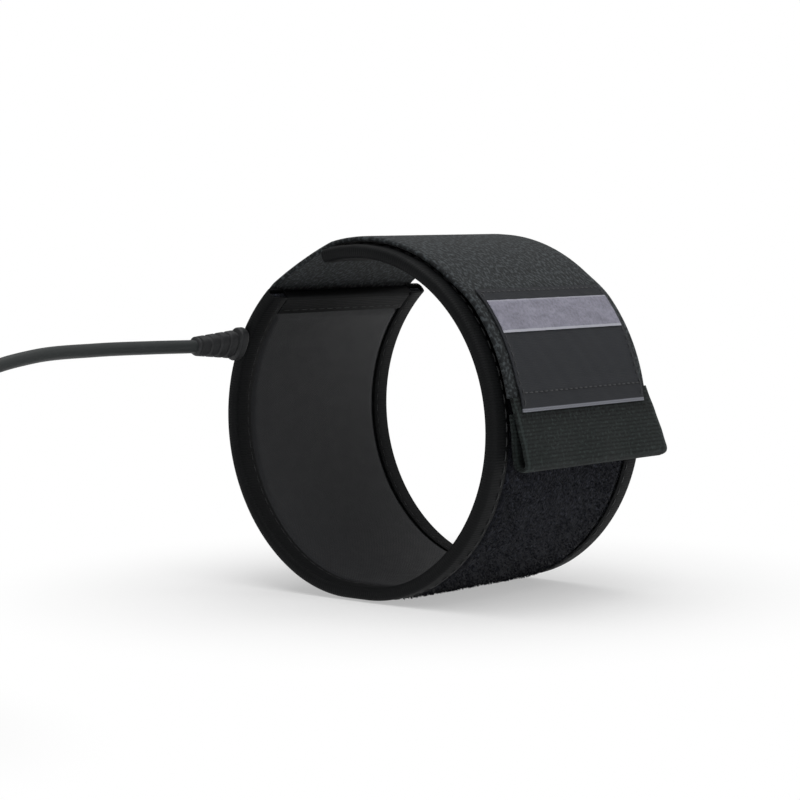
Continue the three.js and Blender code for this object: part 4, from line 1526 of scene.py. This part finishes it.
@dataclass
class Lead:
    """Cord with its strain relief, coil, tie and plug."""

    diameter: float = 3.2
    length: float = 1000.0
    relief_length: float = 16.0
    relief_crest: float = 0.93
    relief_ribs: int = 4
    relief_cut: float = 0.15
    collar: tuple = (8.4, 5.0, 2.4)
    tip: float = 4.3
    coil_centre: tuple = (-195.0, 24.0)
    coil_mean: float = 34.0
    coil_steps: int = 56
    turns: float = 7.25
    tie_width: float = 7.0
    tie_thickness: float = 0.5
    tie_corner: float = 1.2
    tie_lap: float = 9.0
    plug_lead: float = 18.0
    plug: tuple = (15.6, 7.8, 23.0)
    rounding: float = 0.7
    shoulder: float = 2.2
    grip_depth: float = 0.45
    grip_pitch: float = 2.2
    boot: tuple = (9.0, 6.0)
    boot_wall: float = 0.5
    boot_ribs: int = 3
    boot_cut: float = 0.16
    shell_seat: float = 6.2
    shell: tuple = (12.0, 4.5)
    seat: float = 0.3
    fall: tuple = ((-58, 0.1, 0.3), (-76, 0.3, 0.5), (-94, 0.6, -0.1), (-110, 0.9, -3.4),
                   (-123, 1.3, -11), (-133, 1.7, -22), (-141, 2.2, -34), (-150, 3.6, -46))
    landing: tuple = (-161.0, 5.4, 2.6)
    turn_x: float = -172.0

    @property
    def exit(self) -> Array:
        """Place where the cord leaves its strain relief."""
        x = -PLIES.half - self.relief_length - 2 * self.seat
        return LOOP.wrap(np.array(x), np.array(PLIES.cord_station), np.array(LOOP.pad / 2))

    @property
    def radii(self) -> tuple[float, float, float]:
        """Radii of the coil's inner, middle and outer turns."""
        middle = self.coil_mean / 2
        return middle - self.diameter, middle, middle + self.diameter

    @property
    def reach(self) -> float:
        """How far from the coil's middle line the free cord starts."""
        outer = self.radii[2] + self.diameter / 2
        return math.sqrt(outer ** 2 - (outer - self.diameter) ** 2) + self.seat

    @property
    def plug_back(self) -> float:
        """Where the plug's boot starts, on Y."""
        return self.coil_centre[1] - self.reach - self.plug_lead

    def route(self) -> Array:
        """Give the cord's middle line in even steps from the relief to the plug.

        Returns:
            The line's points.
        """
        leave = self.exit
        radius = self.diameter / 2
        outer = self.radii[2]
        cx, cy = self.coil_centre
        points = [leave + (1.6, 0, 0), leave]
        points += [np.array((x, leave[1] + y, leave[2] + z)) for x, y, z in self.fall]
        x, y, z = self.landing
        points += [np.array((x, leave[1] + y, radius + z)),
                   np.array((self.turn_x, cy + outer, radius + self.seat)),
                   np.array((cx + self.reach, cy + outer, radius + self.seat))]
        free = self.smooth(points, 14)
        coil = self.coil()
        top = coil[-1][2]
        end = self.plug[1] / 2
        x = coil[-1][0]
        tail = [coil[-1], np.array((x, cy - self.reach, top - 0.6)),
                np.array((x, cy - self.reach - 4, top - 1.6)),
                np.array((x, self.plug_back + self.seat + 4, end + 0.4)),
                np.array((x, self.plug_back + self.seat, end)),
                np.array((x, self.plug_back - 1.5, end))]
        return np.vstack([free, coil[1:], self.smooth(tail, 8)[1:]])

    def coil(self) -> Array:
        """Give the coil's turns, laid beside and on each other.

        Returns:
            The line's points.
        """
        inner, middle, outer = self.radii
        ring = [outer, middle, inner, inner, middle, outer, outer, outer]
        layer = [0, 0, 0, 1, 1, 1, 2, 2]
        cx, cy = self.coil_centre
        points = []
        for turned in np.linspace(0, self.turns, int(self.turns * self.coil_steps) + 1):
            index = min(int(turned), len(ring) - 1)
            share = float(ease(0.06, 0.44, turned - index)) if index else 1.0
            before = max(index - 1, 0)
            r = ring[before] + (ring[index] - ring[before]) * share
            level = layer[before] + (layer[index] - layer[before]) * share
            angle = math.pi / 2 + turned * 2 * math.pi
            held = (self.tie_thickness + 0.1) * (0.5 + 0.5 * math.cos(angle))
            z = self.diameter / 2 + held + level * self.diameter * 0.995
            points.append((cx + r * math.cos(angle), cy + r * math.sin(angle), z))
        return np.array(points)

    @staticmethod
    def smooth(points: Sequence[Array], steps: int) -> Array:
        """Run one smooth curve through points.

        Args:
            points: Places that the curve goes through.
            steps: Steps from each point to the next.

        Returns:
            The curve's points.
        """
        given = [np.asarray(p, float) for p in points]
        full = [2 * given[0] - given[1], *given, 2 * given[-1] - given[-2]]
        line = [given[0]]
        for a, b, c, d in zip(full, full[1:], full[2:], full[3:]):
            knots = [0.0]
            for p, q in ((a, b), (b, c), (c, d)):
                knots.append(knots[-1] + max(np.linalg.norm(q - p), 1e-6) ** 0.5)
            t0, t1, t2, t3 = knots
            for t in np.linspace(t1, t2, steps + 1)[1:]:
                a1, a2, a3 = part(a, b, t0, t1, t), part(b, c, t1, t2, t), part(c, d, t2, t3, t)
                b1, b2 = part(a1, a2, t0, t2, t), part(a2, a3, t1, t3, t)
                line.append(part(b1, b2, t1, t2, t))
        return np.array(line)

    def build(self) -> None:
        """Make every piece of the lead."""
        self.relief()
        tie = self.tie()
        plug = self.overmould()
        self.cord([tie, plug, "plug_shell", "plug_tongue", *CONTACTS])

    def cord(self, on_cord: list) -> None:
        """Args:
            on_cord: Pieces on the cord; not used.
        """
        route = self.route()
        line = bpy.data.curves.new("lead_cord", "CURVE")
        line.dimensions = "3D"
        spline = line.splines.new("POLY")
        spline.points.add(len(route) - 1)
        for point, place in zip(spline.points, route):
            point.co = (*(place * MM), 1.0)
        line.bevel_depth = self.diameter / 2 * MM
        line.bevel_resolution = 4
        line.use_fill_caps = True
        cord = linked("lead_cord", line)
        WARDROBE.dress(cord, Slot.JACKET)
        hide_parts("cable", "cable_coil", "cable_tail")
        run = float(np.linalg.norm(np.diff(route, axis=0), axis=1).sum())
        log.info("lead_cord: %.0f mm laid, %.0f mm declared", run, self.length)

    def relief_half(self, full: float, along: Array) -> Array:
        """Give half the relief's size along its length: a round-edged collar, then a ribbed taper.

        Args:
            full: Its full size at the collar.
            along: Distances from the pad.

        Returns:
            The half sizes.
        """
        collar, edge, tip_edge = self.collar[2], 0.5, 0.75
        crest = full * self.relief_crest
        body = (crest + (self.tip - crest) * (along / self.relief_length)) / 2
        pitch = (self.relief_length - collar) / (self.relief_ribs + 0.5)
        phase = ((along - collar) / pitch) % 1
        ribbed = (along > collar) & (along < self.relief_length - 1)
        groove = ease(0.02, 0.1, phase) * (1 - ease(0.34, 0.42, phase)) * ribbed
        near = np.clip(1 - np.minimum(along, collar - along) / edge, 0, 1)
        cut = (1 - np.sqrt(np.clip(1 - near ** 2, 0.3, 1))) * edge
        last = np.clip((along - self.relief_length + 0.7) / tip_edge, 0, 1)
        half = np.where(along <= collar, full / 2 - cut, body * (1 - self.relief_cut * groove))
        return half * np.sqrt(np.clip(1 - last ** 2, 0.2, 1))

    def relief(self) -> None:
        """Make the tapered, ribbed strain relief."""
        wide, tall, collar = self.collar
        steps = np.linspace(0, self.relief_length, 90)
        along = np.unique(np.concatenate([steps, [0.25, collar, collar + 0.3]]))
        half_w, half_h = self.relief_half(wide, along), self.relief_half(tall, along)
        side, up = squircle(36, 0.8)
        foot_y, foot_z, out_y, out_z = LOOP.frames(np.array(PLIES.cord_station))
        x = (-PLIES.half - self.seat / 2 - along)[:, None]
        back = half_w[:, None] * side[None, :]
        out = LOOP.pad / 2 + half_h[:, None] * up[None, :]
        y = foot_y + out * out_y + back * out_z
        z = foot_z + out * out_z - back * out_y
        piece = tube_piece("strain_relief_sleeve", stacked(x, y, z), None, 40, flip=True)
        WARDROBE.dress(piece, Slot.OVERMOULD)
        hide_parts("cable_strain_relief")
        log.info("strain_relief_sleeve: %.0f mm long", self.relief_length)

    def tie(self) -> bpy.types.Object:
        """Make the tie that holds the coil, a strap with its end lapped over itself.

        Returns:
            The piece.
        """
        inner, _, outer = self.radii
        radius = self.diameter / 2
        half = self.tie_width / 2
        near = math.sqrt((inner - radius) ** 2 - half ** 2) - self.seat
        far = outer + radius + self.seat
        bottom = self.seat
        top = bottom + 3 * self.diameter + 2 * self.seat
        corner, thick = self.tie_corner, self.tie_thickness
        box = [(near, bottom), (far, bottom), (far, top), (near, top)]
        path = []
        for index, (r, z) in enumerate(box):
            centre = (r + corner * (1 if index in (0, 3) else -1), z + corner * (1 if index < 2 else -1))
            first = math.pi + index * math.pi / 2
            for angle in np.linspace(first, first + math.pi / 2, 7):
                path.append((centre[0] + corner * math.cos(angle), centre[1] + corner * math.sin(angle)))
        path.append(path[0])
        line = np.array(path)
        run = run_along(line)
        even = np.linspace(0, run[-1] + self.tie_lap, 120)
        at = resampled(line, run, even % run[-1])
        heading = headings(at)
        lift = (thick * 0.55) * ease(run[-1] - 3.0, run[-1], even) + thick / 2 - 0.35 * thick
        across, high = stadium(self.tie_width, thick * 0.45, 14, 3)
        away = lift[:, None] + high[None, :]
        cx, cy = self.coil_centre
        x = cx + at[:, :1] + heading[:, 1:] * away
        z = np.maximum(at[:, 1:] - heading[:, :1] * away, PLIES.floor_gap)
        flat = stacked(across[None, :], even[:, None], away)
        piece = tube_piece("coil_tie_strap", stacked(x, cy + across[None, :], z), flat, 60)
        WARDROBE.dress(piece, Slot.TIE)
        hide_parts("coil_tie")
        log.info("coil_tie_strap: %.0f mm round", run[-1])
        return piece

    def overmould(self) -> bpy.types.Object:
        """Make the plug's moulded grip with its ribbed boot and the recess round the shell.

        Returns:
            The piece.
        """
        width, height, length = self.plug
        boot_length, boot_wide = self.boot
        total = boot_length + length
        rings: list[tuple[float, float, float, float]] = []
        thin = self.diameter / 2 + self.boot_wall
        for at in np.linspace(0, boot_length, 46):
            share = at / boot_length
            phase = (share * self.boot_ribs + 0.6) % 1
            cut = float(ease(0.05, 0.2, phase) * (1 - ease(0.4, 0.55, phase))) * (at < boot_length - 0.8)
            half = (thin + (boot_wide / 2 - thin) * share) * (1 - self.boot_cut * cut)
            rings.append((at, half, half, 1.0))
        first_w, first_h = boot_wide / 2 + 1.2, boot_wide / 2 + 0.2
        for at in np.linspace(0, length, 96):
            near = max(0.0, 1 - min(at, length - at) / self.rounding)
            inset = self.rounding * (1 - math.sqrt(max(0.0, 1 - near ** 2)))
            share = float(ease(0, self.shoulder, at))
            w = first_w + (width / 2 - first_w) * share - inset
            h = first_h + (height / 2 - first_h) * share - inset
            rings.append((boot_length + at, w, h, 0.42 + 0.5 * (1 - share)))
        hole_w, hole_h = self.shell[0] / 2 + self.seat, self.shell[1] / 2 + self.seat
        rings += [(total, hole_w + 0.3, hole_h + 0.3, 0.3), (total - 0.25, hole_w, hole_h, 0.3),
                  (total - self.shell_seat, hole_w, hole_h, 0.3)]
        middle = boot_length + length / 2 - 2
        grid = []
        for at, w, h, power in rings:
            across, high = squircle(64, power)
            side, up = w * across, h * high
            phase = (at - middle) / self.grip_pitch
            grip = abs(phase - round(phase)) < 0.2 and abs(phase) < 2.4 and w > hole_w + 0.4
            if grip:
                pressed = ease(w - 1.6, w - 0.5, np.abs(side)) * (np.abs(up) < h * 0.62)
                side = side - self.grip_depth * np.sign(side) * pressed
            x = self.coil_centre[0] - self.radii[2] + side
            grid.append(np.column_stack([x, np.full_like(x, self.plug_back - at), height / 2 + up]))
        piece = tube_piece("plug_grip", np.array(grid), None, 35, flip=True)
        WARDROBE.dress(piece, Slot.OVERMOULD)
        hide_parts("plug_overmould")
        log.info("plug_grip: %.0f mm long", total)
        return piece


CONTACTS = [f"plug_contact_{index}" for index in range(1, 5)]
KEPT = {
    "heater_film": Slot.FILM,
    "heating_element": Slot.FOIL,
    "insulation_foam": Slot.FOAM,
    "solder_tab_negative": Slot.SOLDER,
    "solder_tab_positive": Slot.SOLDER,
    "lead_wire_negative": Slot.WIRE_BLACK,
    "lead_wire_positive": Slot.WIRE_RED,
    "thermal_cutout": Slot.CUTOUT,
    "plug_shell": Slot.STEEL,
    "plug_tongue": Slot.INSULATOR,
    **dict.fromkeys(CONTACTS, Slot.GOLD),
}


# Studio


@dataclass
class Studio:
    """Camera, pale floor, backdrop light and soft lamps."""

    camera_at: tuple = (-0.46227, -0.39092, 0.09132)
    camera_aim: tuple = (-0.01041, 0.00126, 0.04647)
    camera_roll: float = -0.324
    lens: float = 112.5
    sensor: float = 36.0
    aim: tuple = (0.0, 0.0, 0.04)
    fill: float = 0.32
    coil_at: tuple = (-205.0, 5.0)
    # strip_shade and coil_shade: distances over which the painted shade round the strip and the coil fades
    # to white; bleach: the glow left closest to them
    strip_shade: tuple = (42.0, 118.0)
    coil_shade: tuple = (15.0, 60.0)
    bleach: float = 0.42
    floor_size: float = 6.0

    def build(self) -> None:
        """Set up the whole studio."""
        self.camera()
        self.floor()
        self.world()
        self.lamp("key_softbox", (-0.35, -0.55, 1.1), 0.9, 5.0)
        self.lamp("side_softbox", (0.9, -0.7, 0.55), 0.8, 1.8)
        self.lamp("top_softbox", (0.05, 0.25, 1.3), 1.2, 7.0)
        bpy.context.scene.view_settings.view_transform = "Standard"

    def camera(self) -> None:
        """Stand the camera where the photograph was taken from."""
        data = bpy.data.cameras.new("photo_camera")
        data.sensor_width = self.sensor
        data.sensor_fit = "HORIZONTAL"
        data.lens = self.lens
        data.clip_start = 0.01
        camera = linked("photo_camera", data)
        look = (Vector(self.camera_aim) - Vector(self.camera_at)).to_track_quat("-Z", "Y").to_matrix()
        roll = Matrix.Rotation(math.radians(self.camera_roll), 4, "Z")
        camera.matrix_world = Matrix.Translation(Vector(self.camera_at)) @ look.to_4x4() @ roll
        bpy.context.scene.camera = camera
        log.info("camera: %.1f mm lens at %s", self.lens, self.camera_at)

    def floor(self) -> None:
        """Lay the pale floor, which keeps the shadows of the strip and its coil, is painted greyer near
        them as a soft shade, and is white beyond.
        """
        half = self.floor_size / 2 / MM
        corners = np.array([(-half, -half, 0), (half, -half, 0), (half, half, 0), (-half, half, 0)], float)
        floor = mesh_piece("studio_floor", corners, [(0, 1, 2, 3)])
        net = Net(bpy.data.materials.new("studio_floor_paper"))
        paper = net.mix(net.noise(net.place(), 3.0), (0.92, 0.92, 0.92, 1.0), (0.95, 0.95, 0.95, 1.0))
        net.shade(Base_Color=paper, Roughness=0.9, Specular_IOR_Level=0.1)
        glow = net.node("ShaderNodeEmission", {}, {"Color": WHITE, "Strength": 1.0})
        x, y, _ = net.split(net.place())
        from_strip = ((x * x + y * y) ** 0.5).between(*self.strip_shade)
        left, back = x - self.coil_at[0], (y - self.coil_at[1]) * 0.6
        from_coil = ((left * left + back * back) ** 0.5).between(*self.coil_shade)
        # painted shade: less glow near the strip and the coil lets the floor show greyer there, besides
        # the real shadows
        white = self.bleach + (1 - self.bleach) * (from_strip * from_coil)
        share = net.seen("Is Camera Ray", "Is Glossy Ray") * white
        lit = Value(net, net.shader.outputs[0])
        mixed = net.node("ShaderNodeMixShader", {}, {0: share, 1: lit, 2: glow})
        net.put(net.tree.nodes["Material Output"].inputs["Surface"], mixed)
        floor.data.materials.append(net.owner)

    def world(self) -> None:
        """Light the strip softly from all round, and show white behind it."""
        world = bpy.data.worlds.new("studio_light")
        bpy.context.scene.world = world
        net = Net(world, "Background")
        seen = net.seen("Is Camera Ray", "Is Transmission Ray")
        net.shade(Color=WHITE, Strength=self.fill + (1 - self.fill) * seen)

    def lamp(self, name: str, at: tuple, size: float, power: float) -> None:
        """Hang a square softbox that looks at the strip.

        Args:
            name: Name of the lamp.
            at: Its place in metres.
            size: Its side in metres.
            power: Its power in watts.
        """
        data = bpy.data.lights.new(name, "AREA")
        data.size = size
        data.energy = power
        lamp = linked(name, data)
        lamp.location = at
        lamp.rotation_euler = (Vector(self.aim) - Vector(at)).to_track_quat("-Z", "Y").to_euler()


def main() -> None:
    """Build the studio and the strip, and give the CAD nodes that stay their finishes."""
    logging.basicConfig(level=logging.INFO, format="%(name)s: %(message)s", force=True)
    strap = Strap()
    Studio().build()
    Lead().build()
    Pad(strap).build()
    strap.build()
    for node, slot in KEPT.items():
        WARDROBE.carry_over(node, slot)


if __name__ == "__main__":
    main()
